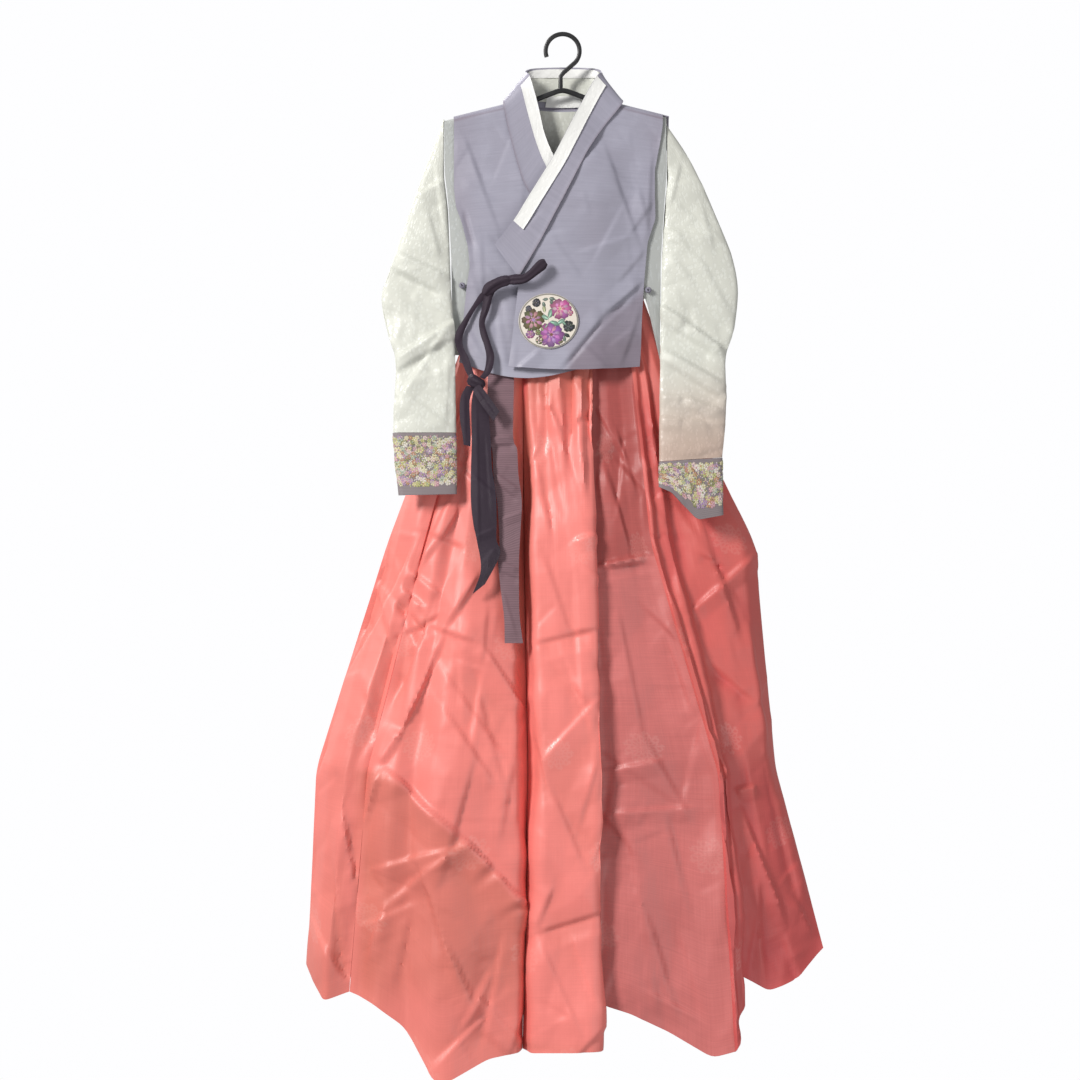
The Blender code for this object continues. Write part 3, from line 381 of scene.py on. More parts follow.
# a fold line each: x at hip, knee, shin and hem, then y at the same, then its drop at the hem
frontFolds = {
    "leftEdge": (-166, -263, -371, -384, 2, 4, 8, 10, 1392),
    "leftTurn": (-160, -250, -352, -368, -8, -18, -30, -32, 1420),
    "leftRidge": (-146, -222, -325, -354, -14, -36, -58, -60, 1439),
    "leftDip": (-138, -205, -290, -317, -12, -33, -50, -50, 1427),
    "leftSwell": (-126, -182, -250, -277, -18, -46, -74, -78, 1444),
    "leftTrough": (-118, -165, -222, -235, -15, -41, -68, -74, 1474),
    "lowPoint": (-108, -145, -188, -190, -19, -53, -88, -104, 1549),
    "lowPointRight": (-100, -130, -160, -170, -19, -55, -90, -106, 1550),
    "leftInner": (-88, -104, -115, -110, -19, -55, -84, -92, 1519),
    "leftLip": (-72, -72, -66, -66, -19, -53, -78, -84, 1511),
    "valley": (-60, -58, -52, -60, -10, -26, -44, -56, 1510),
    "centreLip": (-52, -50, -40, -48, -22, -58, -86, -94, 1510),
    "centreRidge": (-44, -42, -30, -30, -26, -64, -94, -102, 1508),
    "centreMiddle": (0, 4, 12, 10, -26, -64, -96, -106, 1506),
    "centreRight": (36, 34, 50, 42, -27, -66, -98, -106, 1505),
    "centreEdge": (47, 46, 63, 55, -25, -62, -92, -98, 1505),
    "centreUnder": (40, 38, 52, 44, -19, -52, -80, -86, 1496),
    "roseStart": (50, 46, 60, 52, -14, -44, -68, -72, 1440),
    "roseLeft": (66, 76, 110, 100, -18, -46, -70, -74, 1455),
    "roseMiddle": (82, 100, 165, 160, -16, -42, -68, -78, 1484),
    "roseLow": (94, 118, 205, 219, -18, -44, -72, -86, 1518),
    "roseEdge": (104, 130, 228, 252, -20, -50, -82, -96, 1507),
    "firstPleat": (110, 136, 233, 258, -22, -56, -90, -102, 1502),
    "firstReturn": (114, 142, 234, 256, -14, -44, -76, -84, 1460),
    "secondPleat": (124, 160, 243, 272, -20, -50, -80, -84, 1440),
    "secondReturn": (128, 168, 244, 262, -10, -34, -58, -62, 1400),
    "rightSwell": (142, 226, 276, 306, -14, -36, -50, -50, 1426),
    "rightTurn": (154, 268, 306, 350, -8, -24, -34, -30, 1412),
    "rightEdge": (162, 288, 320, 392, 2, 2, 0, 0, 1370),
}

# the back is a lapped cloth: where each layer's lap ends, and how deep it lies
backUnder = {"lap": (-40, -110), "depth": (11, 36, 54, 62), "drops": (1436, 1376)}
backOver = {"lap": (62, 150), "depth": (17, 44, 63, 72), "drops": (1440, 1390)}
backWaves = (0.8, 5.0, 9.0, 11.0)
backFolds = 10
backSeam = 4

# startX, startDrop, endX, endDrop, width, height: ridges stand forward, troughs lie back
leftCreases = [
    (-123, 802, -172, 887, 16, 6), (-172, 887, -238, 1037, 15, 7), (-238, 1037, -271, 1092, 15, 6),
    (-196, 860, -250, 990, 13, -4), (-263, 1094, -151, 1193, 20, 8), (-151, 1193, -102, 1242, 20, 8),
    (-102, 1242, -61, 1294, 20, 7), (-61, 1294, -44, 1326, 14, 5), (-263, 1094, -300, 1190, 16, 6),
    (-287, 1246, -145, 1205, 12, 4), (-266, 1302, -155, 1209, 13, 5), (-300, 1330, -210, 1290, 12, 3),
    (-120, 912, -50, 1018, 14, 6), (-130, 905, -200, 880, 12, 4), (-118, 925, -140, 1060, 18, -4),
    (-241, 829, -205, 860, 8, 5), (-246, 845, -200, 905, 7, -4), (-240, 866, -215, 925, 8, 4),
    (-232, 800, -180, 840, 9, 4), (-250, 905, -180, 870, 9, -4), (-150, 700, -212, 800, 14, 4),
    (-160, 640, -90, 720, 10, 3), (-210, 745, -150, 770, 10, -3), (-180, 1000, -100, 1120, 20, 4),
    (-330, 1140, -300, 1330, 14, 5), (-345, 1250, -322, 1410, 12, -4), (-290, 1380, -262, 1290, 10, 4),
    (-210, 1240, -160, 1420, 22, -6), (-180, 1330, -120, 1470, 16, 4), (-90, 1330, -120, 1500, 15, -4),
    (-150, 1480, -100, 1380, 12, 4), (-225, 1300, -252, 1420, 12, 4), (-75, 1080, -95, 1200, 13, 3),
]
centreCreases = [
    (-43, 912, 53, 889, 12, -4), (16, 761, 46, 749, 9, 4), (-36, 1085, 53, 990, 14, 3),
    (-40, 1336, 61, 1304, 12, -4), (-16, 1262, -43, 1331, 10, 4), (-40, 640, -18, 760, 10, 3),
    (-30, 780, 10, 900, 14, 3), (20, 560, 34, 700, 9, 3), (0, 930, 40, 1040, 16, -3),
    (-26, 490, -22, 620, 7, -5), (-6, 490, 4, 660, 7, 4), (12, 490, 16, 610, 6, -6),
    (26, 490, 32, 680, 8, 5), (40, 490, 44, 620, 6, -5), (-40, 490, -38, 600, 6, -4),
    (-20, 1120, 30, 1240, 16, 3), (-35, 1345, 25, 1480, 15, 3), (50, 1080, 20, 1180, 12, 3),
    (5, 1330, 48, 1450, 14, -3), (-30, 540, -2, 600, 8, 3), (10, 600, 44, 560, 8, -3),
]
rightCreases = [
    (56, 795, 130, 780, 9, 6), (52, 803, 126, 792, 7, -4), (60, 640, 96, 770, 10, 4),
    (78, 590, 110, 690, 8, 3), (90, 600, 76, 720, 8, -3), (60, 1100, 150, 1082, 10, 4),
    (70, 1160, 200, 1152, 10, 4), (90, 1180, 130, 1400, 18, -4), (150, 1160, 190, 1330, 16, 4),
    (80, 860, 120, 1060, 16, 3), (192, 864, 237, 824, 10, 5), (237, 824, 281, 781, 10, 5),
    (256, 1129, 289, 1122, 10, 4), (195, 700, 262, 900, 16, 5), (180, 640, 214, 720, 9, -3),
    (215, 940, 282, 1000, 12, -4), (276, 880, 300, 1060, 12, 4), (262, 1150, 330, 1330, 16, 6),
    (300, 1080, 352, 1310, 14, -5), (250, 1190, 262, 1360, 12, 4), (285, 1260, 300, 1410, 13, 4),
    (120, 1300, 172, 1470, 14, 4), (340, 1290, 376, 1352, 10, 4), (215, 1040, 246, 1110, 9, 4),
    (150, 905, 186, 1010, 12, -3), (120, 1420, 200, 1462, 12, 3), (205, 780, 240, 800, 8, -4),
]


def foldPlace(fold, drop):
    # x and y of a fold line at a drop, on straight runs between its levels
    stops = [skirt["top"], 505.0, 760.0, 1100.0, fold[8]]
    x = np.interp(drop, stops, [fold[0] * skirt["topWidth"], *fold[:4]])
    y = np.interp(drop, stops, [fold[4] * skirt["topDepth"], *fold[4:8]])
    return x, y


def foldColumns(folds):
    columns = []
    for fold in folds:
        drops = list(skirt["levels"]) + [mix(1100.0, fold[8], share) for share in (0.35, 0.7, 1.0)]
        columns.append([(*foldPlace(fold, drop), drop) for drop in drops])
    return [list(row) for row in zip(*columns)]


def foldsBetween(first, last):
    names = list(frontFolds)
    return [frontFolds[name] for name in names[names.index(first):names.index(last) + 1]]


def backFoldLines(edge, lap):
    folds = []
    for index in range(backFolds + 1):
        share = index / backFolds
        sign = 1 if index % 2 else -1
        lapX = (lap["lap"][0], mix(*lap["lap"], 0.5), mix(*lap["lap"], 0.5), lap["lap"][1])
        xs = [mix(edge[level], lapX[level], share) for level in range(4)]
        ys = []
        for level in range(4):
            sameSide = xs[level] * edge[level] > 0
            swell = 1.0 - abs(xs[level] / edge[level]) ** 2.5 if sameSide else 1.0
            wave = backWaves[level] * sign * math.sin(math.pi * share)
            ys.append(edge[4 + level] + lap["depth"][level] * swell + wave)
        drop = mix(lap["drops"][1], lap["drops"][0], min(share * 2.0, 1.0))
        folds.append((*xs, *ys, drop + 8.0 * sign * math.sin(math.pi * share)))
    gaps = (8.0, 3.4, 3.4, 3.4)
    folds[0] = (*edge[:4], *(edge[4 + level] + gaps[level] for level in range(4)), edge[8])
    return folds


def stiffened(x, drop, seed, count, area):
    # the small flat facets of a stiff, thin cloth that has been folded away
    large = strewn(seed, count, area, *skirt["largeCreases"])
    small = strewn(seed + 1, count * 3, area, *skirt["smallCreases"])
    broken = facets(x, drop, *skirt["largeFacets"]) + facets(x, drop, *skirt["smallFacets"])
    edge = ramp(drop, 440.0, 640.0)
    return (creases(x, drop, large + small) + broken) * edge


def skirtPanel(name, folds, rows, seed, slot, material, step, tone, front=True):
    grid = refined(foldColumns(folds), step, 30.0, 9.0)
    x, drop = grid[..., 0], grid[..., 2]
    area = (x.min(), 430.0, x.max(), drop.max())
    count = int((area[2] - area[0]) / 14.0)
    heights = creases(x, drop, rows) * skirt["creaseScale"]
    heights += stiffened(x, drop, seed, count, area)
    # panels keep their own edges, so that neighbours still meet
    share = np.linspace(0.0, 1.0, grid.shape[1])[None, :]
    heights *= ramp(np.minimum(share, 1.0 - share) * (area[2] - area[0]), -4.0, 14.0)
    grid = pushed(grid, heights)
    # painted shade: each trough is painted darker than the ridges
    troughShadedTone = tone(x, drop) - skirt["troughShade"] * np.clip(-heights / 5.0, 0.0, 1.5)
    piece = addCloth(name, grid, skirt["wall"], material, tone=np.clip(troughShadedTone, 0.0, 1.0))
    settle(piece, slot, name.replace("Cloth", ""))
    return piece


def wovenFlowers(tree):
    # round woven flowers in staggered rows: 1 inside a flower, broken up by its petals
    source = tree.nodes.new("ShaderNodeTexCoord")
    split = tree.nodes.new("ShaderNodeSeparateXYZ")
    tree.links.new(source.outputs["UV"], split.inputs[0])
    pitch = skirt["flowerPitch"]
    rowPlace = calc(tree, "DIVIDE", split.outputs[1], pitch * 0.8)
    rowNumber = calc(tree, "FLOOR", rowPlace)
    shift = calc(tree, "MULTIPLY", rowNumber, 0.37)
    columnPlace = calc(tree, "ADD", calc(tree, "DIVIDE", split.outputs[0], pitch), shift)
    localX = calc(tree, "MULTIPLY", calc(tree, "SUBTRACT", calc(tree, "FRACT", columnPlace), 0.5),
                  pitch)
    localY = calc(tree, "MULTIPLY", calc(tree, "SUBTRACT", calc(tree, "FRACT", rowPlace), 0.5),
                  pitch * 0.8)
    square = calc(tree, "ADD", calc(tree, "MULTIPLY", localX, localX),
                  calc(tree, "MULTIPLY", localY, localY))
    reach = calc(tree, "SQRT", square)
    angle = calc(tree, "ARCTAN2", localY, localX)
    lobes = calc(tree, "COSINE", calc(tree, "MULTIPLY", angle, 9.0))
    rim = calc(tree, "MULTIPLY_ADD", lobes, 0.0025, skirt["flowerSize"])
    inside = between(tree, calc(tree, "SUBTRACT", rim, reach), 0.0, 0.002)
    rings = calc(tree, "SINE", calc(tree, "MULTIPLY_ADD", reach, 900.0,
                                    calc(tree, "MULTIPLY", lobes, 1.4)))
    veins = calc(tree, "SINE", calc(tree, "MULTIPLY", angle, 18.0))
    figure = calc(tree, "MULTIPLY", calc(tree, "MAXIMUM", rings, veins), 0.9)
    return calc(tree, "MULTIPLY", inside, between(tree, figure, -0.4, 0.9, 0.15, 1.0))


def organza(name, stops, sheen, weave):
    # stiff thin silk: streaky threads, faint woven flowers and a soft sheen
    material, tree, shader = newMaterial(name, 0.46, sheen, (1.0, 0.82, 0.78))
    ladder = tree.nodes.new("ShaderNodeValToRGB")
    while len(ladder.color_ramp.elements) < len(stops):
        ladder.color_ramp.elements.new(0.5)
    for index, colour in enumerate(stops):
        ladder.color_ramp.elements[index].position = index / (len(stops) - 1)
        ladder.color_ramp.elements[index].color = (*colour, 1.0)
    tree.links.new(toneOf(tree), ladder.inputs[0])
    across = cloudy(tree, flatCloth(tree, (14.0, 620.0, 1.0)), 1.0, 2.0)
    upright = cloudy(tree, flatCloth(tree, (620.0, 14.0, 1.0)), 1.0, 2.0)
    patchy = cloudy(tree, flatCloth(tree), 7.0, 3.0)
    threadTone = calc(tree, "ADD", calc(tree, "MULTIPLY", across, weave),
                      calc(tree, "MULTIPLY", upright, weave * 0.6))
    level = calc(tree, "ADD", threadTone, 1.0 - weave * 0.8)
    level = calc(tree, "MULTIPLY", level, between(tree, patchy, 0.3, 0.7, 0.95, 1.05))
    shade = tree.nodes.new("ShaderNodeCombineColor")
    for socket in shade.inputs:
        tree.links.new(level, socket)
    flowers = wovenFlowers(tree)
    coloured = colourMix(tree, 1.0, ladder.outputs[0], shade.outputs[0], "MULTIPLY")
    lighter = colourMix(tree, calc(tree, "MULTIPLY", flowers, 0.06), coloured, (1.0, 0.72, 0.64))
    tree.links.new(lighter, shader.inputs["Base Color"])
    rough = calc(tree, "SUBTRACT", between(tree, upright, 0.3, 0.7, 0.42, 0.52),
                 calc(tree, "MULTIPLY", flowers, 0.12))
    tree.links.new(rough, shader.inputs["Roughness"])
    height = calc(tree, "ADD", calc(tree, "MULTIPLY", across, 0.5), upright)
    wrinkle = cloudy(tree, flatCloth(tree, (1.0, 0.55, 1.0), turn=20.0), 26.0, 2.0, 0.4)
    first = bumped(tree, shader, wrinkle, 0.0010, 0.5)
    bumped(tree, shader, height, 0.0003, 0.5, first)
    return material


coralOrganza = organza("coralOrganza", (skirt["coralDeep"], skirt["coralDull"], skirt["coral"]),
                       0.08, 0.14)
roseOrganza = organza("roseOrganza", (skirt["roseDark"], skirt["rose"]), 0.08, 0.30)


def leftTone(x, drop):
    # painted shade below the long diagonal fold, a little less near the hem, and in the valley fold at the
    # right; duller towards the low left hem
    fold = np.interp(x, (-263, -151, -102, -61, -44), (1094, 1193, 1242, 1294, 1326))
    below = ramp(drop, fold - 4.0, fold + 12.0) * ramp(x, -318.0, -290.0)
    hem = ramp(drop, 1380.0, 1470.0) * 0.25
    lowLeft = ramp(drop, 1150.0, 1420.0) * ramp(-x, 270.0, 360.0)
    valley = 0.55 * ramp(x, -78.0, -62.0) * ramp(-drop, -1050.0, -750.0)
    return np.clip(0.95 - 0.34 * below - 0.24 * lowLeft + hem * below - valley, 0.0, 1.0)


def centreTone(x, drop):
    # painted shadow of the vest hem across the top and painted shade in the valley fold at the left; a
    # little darker at the hem
    under = 0.45 * ramp(-drop, -600.0, -500.0)
    valley = 0.5 * ramp(-x, 46.0, 58.0) * ramp(-drop, -1050.0, -750.0)
    return np.clip(1.0 - 0.12 * ramp(drop, 1480.0, 1506.0) - under - valley, 0.0, 1.0)


def rightTone(x, drop):
    # painted shade: this panel is kept deep all over, deeper towards the hem and a little lighter near its
    # top
    low = ramp(drop, 1050.0, 1350.0)
    return np.clip(0.20 - 0.12 * low + 0.10 * ramp(-drop, -620.0, -500.0), 0.0, 1.0)


def roseTone(x, drop):
    seam = np.interp(x, (56, 130), (795, 780))
    return np.clip(0.16 + 0.84 * ramp(drop, seam - 3.0, seam + 3.0), 0.0, 1.0)


def backTone(x, drop):
    return 0.92 - 0.25 * ramp(drop, 1150.0, 1400.0)


frontPanels = [
    ("skirt_front_right", "leftEdge", "leftDip", leftCreases, 11, "coral", leftTone),
    ("skirt_front_low", "leftDip", "valley", leftCreases, 23, "coral", leftTone),
    ("skirt_front_centre", "valley", "centreUnder", centreCreases, 37, "coral", centreTone),
    ("skirt_front_rose", "centreUnder", "roseEdge", rightCreases, 41, "rose", roseTone),
    ("skirt_front_left", "roseEdge", "rightEdge", rightCreases, 53, "coral", rightTone),
]
for node, first, last, rows, seed, kind, tone in frontPanels:
    material = coralOrganza if kind == "coral" else roseOrganza
    slot = "coral_organza" if kind == "coral" else "rose_organza"
    skirtPanel(node + "Cloth", foldsBetween(first, last), rows, seed, slot, material,
               skirt["frontStep"], tone)
underLines = backFoldLines(frontFolds["rightEdge"], backUnder)
overLines = backFoldLines(frontFolds["leftEdge"], backOver)
overLines.reverse()
backPanels = [
    ("skirt_back_left", underLines[:backSeam + 1], 61),
    ("skirt_back_under", underLines[backSeam:], 67),
    ("skirt_back_right", overLines[backFolds - backSeam:], 71),
    ("skirt_back_over", overLines[:backFolds - backSeam + 1], 73),
]
for node, folds, seed in backPanels:
    skirtPanel(node + "Cloth", folds, [], seed, "coral_organza", coralOrganza,
               skirt["backStep"], backTone, False)
print("skirt made")


# vest and jeogori bodies
upper = {
    "neckX": 87.0,
    "neckDrop": 101.5,
    "fall": 0.25,
    "hollow": 8.0,
    "ivoryBelow": 3.0,
    "step": 2.6,
    "creaseScale": 1.35,
    "seamDrop": 8.0,          # how far the shoulder seam lies below the shoulder's edge
    "seamWidth": 1.8,
    "seamShade": 0.7,
    "vestWall": 1.5,
    "ivoryWall": 1.2,
    "lavender": (0.330, 0.325, 0.400),
    "lavenderShade": (0.225, 0.190, 0.235),
    "ivory": (0.700, 0.715, 0.660),
    "white": (0.86, 0.86, 0.84),
}

# rows of a panel, from the shoulder to the hem: left x, its drop, right x, its drop
vestOverRows = [(74, 114, 150, 136), (42, 150, 146, 162), (14, 190, 138, 203), (-8, 232, 138, 240),
                (-32, 272, 139, 276), (-56, 320, 127, 312), (-65, 366, 122, 370),
                (-69, 400, 120, 400), (-73, 435, 118, 435), (-77, 470, 117, 468),
                (-81, 499, 115, 498)]
vestUnderRows = [(-163, 129, -78, 112), (-163, 150, -72, 140), (-163, 190, -58, 180),
                 (-163, 230, -45, 215), (-160, 258, -30, 245), (-150, 285, -12, 275),
                 (-142, 317, 4, 310), (-139, 348, 14, 345), (-144, 378, 20, 380),
                 (-148, 420, 24, 420), (-151, 460, 28, 460), (-155, 491, 30, 500)]
vestBackRows = [(-164, 150, 160, 150), (-164, 200, 152, 200), (-163, 245, 148, 245),
                (-154, 290, 140, 290), (-143, 335, 130, 335), (-145, 378, 123, 378),
                (-149, 420, 122, 420), (-152, 460, 120, 460), (-155, 496, 118, 496)]
ivoryRightRows = [(-177.5, 130, -84, 114), (-177.5, 165, -74, 150), (-177, 205, -62, 195),
                  (-172, 250, -48, 240), (-169.3, 290, -34, 285), (-167, 340, -22, 335),
                  (-164.6, 388, -12, 385)]
ivoryLeftRows = [(84, 114, 155.5, 131), (74, 150, 155.5, 165), (62, 195, 155.8, 208),
                 (48, 240, 152.8, 250), (34, 285, 150, 290), (22, 335, 147.2, 340),
                 (12, 385, 145.5, 390)]
ivoryBackRows = [(-177.5, 165, 155.5, 165), (-177, 205, 155.8, 205), (-171.5, 255, 152, 255),
                 (-168, 320, 148, 320), (-164.6, 388, 145.5, 388)]

overCreases = [
    (120, 368, 61, 420, 10, 3.5), (61, 420, -3, 500, 10, 4.0), (55, 435, -1, 503, 12, -3.0),
    (100, 396, 40, 452, 14, -1.6), (-67, 503, -33, 474, 8, 2.4), (118, 402, 84, 498, 12, 1.6),
    (20, 330, 112, 300, 9, 1.2), (-20, 300, 30, 372, 12, 1.0), (60, 190, 130, 205, 8, 1.0),
    (58, 160, 118, 330, 26, 1.8), (132, 180, 126, 290, 14, 1.8), (112, 228, 136, 330, 9, 1.4),
    (90, 250, 40, 345, 20, -1.2), (70, 470, 108, 440, 10, 1.4), (10, 250, 84, 262, 10, -0.8),
    (124, 320, 80, 372, 12, 1.6), (136, 246, 98, 300, 12, 1.5), (30, 468, 66, 502, 9, 1.6),
]
underCreases = [
    (-108, 426, -103, 502, 8, 2.0), (-124, 300, -118, 440, 9, 1.4), (-154, 269, -142, 317, 8, 3.2),
    (-142, 317, -138, 348, 8, 3.0), (-148, 262, -132, 320, 7, -2.4),
    (-140, 180, -96, 300, 24, 1.6), (-150, 150, -120, 230, 14, 1.6), (-120, 340, -60, 410, 14, 1.6),
    (-130, 380, -104, 480, 14, 1.8), (-144, 440, -118, 488, 9, 1.5), (-118, 210, -60, 222, 9, 0.9),
    (-110, 300, -70, 340, 12, -1.2), (-96, 420, -84, 500, 10, 1.2), (-150, 220, -100, 250, 11, 1.2),
]
backCreases = [
    (-120, 180, -60, 330, 24, 2.0), (90, 170, 60, 330, 22, 2.0), (-20, 210, 20, 400, 26, 1.4),
    (-130, 260, -90, 430, 16, 2.0), (110, 250, 84, 440, 16, 2.0), (-100, 430, -20, 470, 14, 1.4),
    (20, 440, 100, 400, 14, 1.6), (-60, 300, 50, 318, 16, 1.0), (-150, 210, -112, 290, 10, 1.6),
    (140, 220, 108, 300, 10, 1.6),
]


def shoulderDrop(x):
    return upper["neckDrop"] + (np.abs(x) - upper["neckX"]) * upper["fall"]


def bodyRound(x):
    return np.clip(1.0 - (x / 175.0) ** 2, 0.0, 1.0)


def frontDepth(x, drop):
    flare = np.clip(drop - 380.0, 0.0, None) / 125.0
    return 8.5 + (8.0 * ramp(drop, 110.0, 260.0) + 16.0 * flare) * bodyRound(x)


def backDepth(x, drop):
    flare = np.clip(drop - 380.0, 0.0, None) / 125.0
    return 8.5 + (5.0 * ramp(drop, 110.0, 260.0) + 12.0 * flare) * bodyRound(x)


def overLift(x, drop):
    # the over panel lies close at its own side, and higher where it laps
    shift = 60.0 * (1.0 - ramp(drop, 110.0, 220.0))
    return mix(14.0, 4.0, ramp(x + shift, 45.0, 110.0))


def frontPanel(rows, columns, lift, below, sag):
    # turns over the shoulder at its top and sags at its hem
    grid = []
    share = np.linspace(0.0, 1.0, columns + 1)
    for extra, depthShare in ((0.0, 0.0), (2.0, 0.75), (7.0, 1.0)):
        x = mix(rows[0][0], rows[0][2], share)
        drop = shoulderDrop(x) + below + extra
        y = -np.maximum((frontDepth(x, drop) + lift(x, drop)) * depthShare, 0.7)
        grid.append(np.stack([x, y, drop], axis=1))
    for index, (leftX, leftDrop, rightX, rightDrop) in enumerate(rows):
        x = mix(leftX, rightX, share)
        drop = mix(leftDrop, rightDrop, share)
        if index == len(rows) - 1:
            drop = drop + sag * np.sin(math.pi * share)
        grid.append(np.stack([x, -(frontDepth(x, drop) + lift(x, drop)), drop], axis=1))
    return grid


def backPanel(rows, columns, lift, below, sag):
    # over the shoulders, and hollowed at the neck; columns run the other way
    grid = []
    share = np.linspace(0.0, 1.0, columns + 1)
    for extra, depthShare in ((0.0, 0.0), (2.0, 0.75), (7.0, 1.0)):
        x = mix(rows[0][2], rows[0][0], share)
        hollow = np.clip(1.0 - (x / upper["neckX"]) ** 2, 0.0, 1.0)
        drop = np.maximum(shoulderDrop(x), upper["neckDrop"]) + upper["hollow"] * hollow ** 2
        drop = drop + below + extra
        depth = backDepth(x, drop) + lift
        y = np.maximum(mix(depth * hollow ** 0.4, depth, depthShare), 0.7)
        grid.append(np.stack([x, y, drop], axis=1))
    for index, (leftX, leftDrop, rightX, rightDrop) in enumerate(rows):
        x = mix(rightX, leftX, share)
        drop = mix(rightDrop, leftDrop, share)
        if index == len(rows) - 1:
            drop = drop + sag * np.sin(math.pi * share)
        grid.append(np.stack([x, backDepth(x, drop) + lift, drop], axis=1))
    return grid


def vestTone(x, drop, shade):
    # 1 is the bluish face of the silk, 0 its browner shaded colour: painted shade under the lapped fold, at
    # the sides and low at the hem, added to the painted trough shade passed in; darker stitching along the
    # shoulder seam
    fold = np.interp(x, (-3, 61, 120), (500, 420, 368))
    # painted shade under the fold, at the sides and low at the hem
    under = ramp(drop, fold + 2.0, fold + 26.0) * ramp(x, -2.0, 8.0)
    side = ramp(np.abs(x), 112.0, 160.0) * 0.35
    low = ramp(drop, 430.0, 500.0) * ramp(x, 0.0, 20.0) * 0.45
    below = drop - shoulderDrop(x) - upper["seamDrop"]
    seam = upper["seamShade"] * np.exp(-(below / upper["seamWidth"]) ** 2)
    return np.clip(shade - 0.75 * under - side - low - seam, 0.0, 1.0)


def ivoryTone(x, drop, shade):
    # painted shade: greyer on the strips beside the vest, added to the painted trough shade passed in
    return np.clip(shade - 0.85 * ramp(np.abs(x), 104.0, 132.0), 0.0, 1.0)


def bodyPanel(node, rows, wall, material, slot, creaseRows, seed, softer=1.0, panelTone=vestTone):
    grid = refined(rows, upper["step"], 9.0, 6.0)
    x, drop = grid[..., 0], grid[..., 2]
    area = (x.min(), drop.min() + 30.0, x.max(), drop.max())
    fine = strewn(seed, 30, area, (30, 120), (8, 24), (0.3, 1.0), 25, 40)
    heights = creases(x, drop, creaseRows) * upper["creaseScale"] + creases(x, drop, fine)
    heights = heights * softer
    across = np.linspace(0.0, 1.0, grid.shape[1])[None, :] * np.ones(x.shape)
    lower = np.linspace(0.0, 1.0, grid.shape[0])[:, None] * np.ones(x.shape)
    # creases fade in below the top rows and grow weaker towards the side edges
    edge = np.minimum(across, 1.0 - across) * (area[2] - area[0])
    heights *= ramp(lower, 0.02, 0.12) * ramp(edge, -6.0, 12.0)
    grid = pushed(grid, heights)
    # painted shade: troughs are painted darker, ridges keep the full tone
    shade = np.clip(1.0 + np.clip(heights, -3.0, 1.0) * 0.12, 0.0, 1.0)
    piece = addCloth(node + "Cloth", grid, wall, material, tone=panelTone(x, drop, shade))
    settle(piece, slot, node)
    return piece


def slubSilk(name, face, shade, roughness):
    # plain silk with uneven threads across it; its tone attribute mixes in the browner colour for painted
    # shade and darker stitching
    material, tree, shader = newMaterial(name, roughness, 0.22, (0.86, 0.86, 1.0))
    slubs = cloudy(tree, flatCloth(tree, (11.0, 420.0, 1.0)), 1.0, 3.0, 0.6)
    fine = cloudy(tree, flatCloth(tree, (40.0, 1300.0, 1.0)), 1.0, 2.0)
    upright = cloudy(tree, flatCloth(tree, (1100.0, 30.0, 1.0)), 1.0, 1.0)
    patchy = cloudy(tree, flatCloth(tree), 9.0, 3.0)
    level = calc(tree, "ADD", calc(tree, "MULTIPLY", slubs, 0.26), 0.80)
    level = calc(tree, "ADD", level, calc(tree, "MULTIPLY", fine, 0.14))
    tone = calc(tree, "MULTIPLY", toneOf(tree), between(tree, patchy, 0.25, 0.75, 0.82, 1.0))
    # painted shade and stitching come in through the tone attribute
    base = colourMix(tree, tone, shade, face)
    grey = tree.nodes.new("ShaderNodeCombineColor")
    for socket in grey.inputs:
        tree.links.new(level, socket)
    tree.links.new(colourMix(tree, 1.0, base, grey.outputs[0], "MULTIPLY"),
                   shader.inputs["Base Color"])
    tree.links.new(between(tree, slubs, 0.3, 0.7, roughness - 0.06, roughness + 0.06),
                   shader.inputs["Roughness"])
    height = calc(tree, "ADD", slubs, calc(tree, "MULTIPLY", upright, 0.5))
    soft = cloudy(tree, flatCloth(tree), 16.0, 2.0, 0.4)
    first = bumped(tree, shader, soft, 0.0025, 0.45)
    bumped(tree, shader, height, 0.00035, 0.6, first)
    return material


def jacquardSatin(name, colour, deeper, roughness):
    # ivory satin with small woven leaves that catch the light
    material, tree, shader = newMaterial(name, roughness, 0.30, (1.0, 0.99, 0.94))
    leaves = tree.nodes.new("ShaderNodeTexVoronoi")
    leaves.feature = "SMOOTH_F1"
    tree.links.new(flatCloth(tree, (210.0, 130.0, 1.0), turn=24.0), leaves.inputs["Vector"])
    leaves.inputs["Scale"].default_value = 1.0
    leaves.inputs["Smoothness"].default_value = 0.3
    curl = cloudy(tree, flatCloth(tree), 260.0, 2.0)
    figure = between(tree, calc(tree, "ADD", leaves.outputs["Distance"],
                                calc(tree, "MULTIPLY", curl, 0.5)), 0.55, 0.72)
    rib = cloudy(tree, flatCloth(tree, (30.0, 900.0, 1.0)), 1.0, 2.0)
    patchy = cloudy(tree, flatCloth(tree), 8.0, 3.0)
    share = calc(tree, "ADD", calc(tree, "MULTIPLY", figure, 0.38),
                 calc(tree, "MULTIPLY", patchy, 0.30))
    share = calc(tree, "ADD", share, calc(tree, "MULTIPLY", rib, 0.20))
    tree.links.new(colourMix(tree, share, colour, deeper), shader.inputs["Base Color"])
    tree.links.new(between(tree, figure, 0.0, 1.0, roughness - 0.10, roughness + 0.08),
                   shader.inputs["Roughness"])
    soft = cloudy(tree, flatCloth(tree), 18.0, 2.0, 0.4)
    first = bumped(tree, shader, soft, 0.003, 0.5)
    second = bumped(tree, shader, figure, 0.0004, 0.35, first)
    bumped(tree, shader, rib, 0.0003, 0.4, second)
    return material


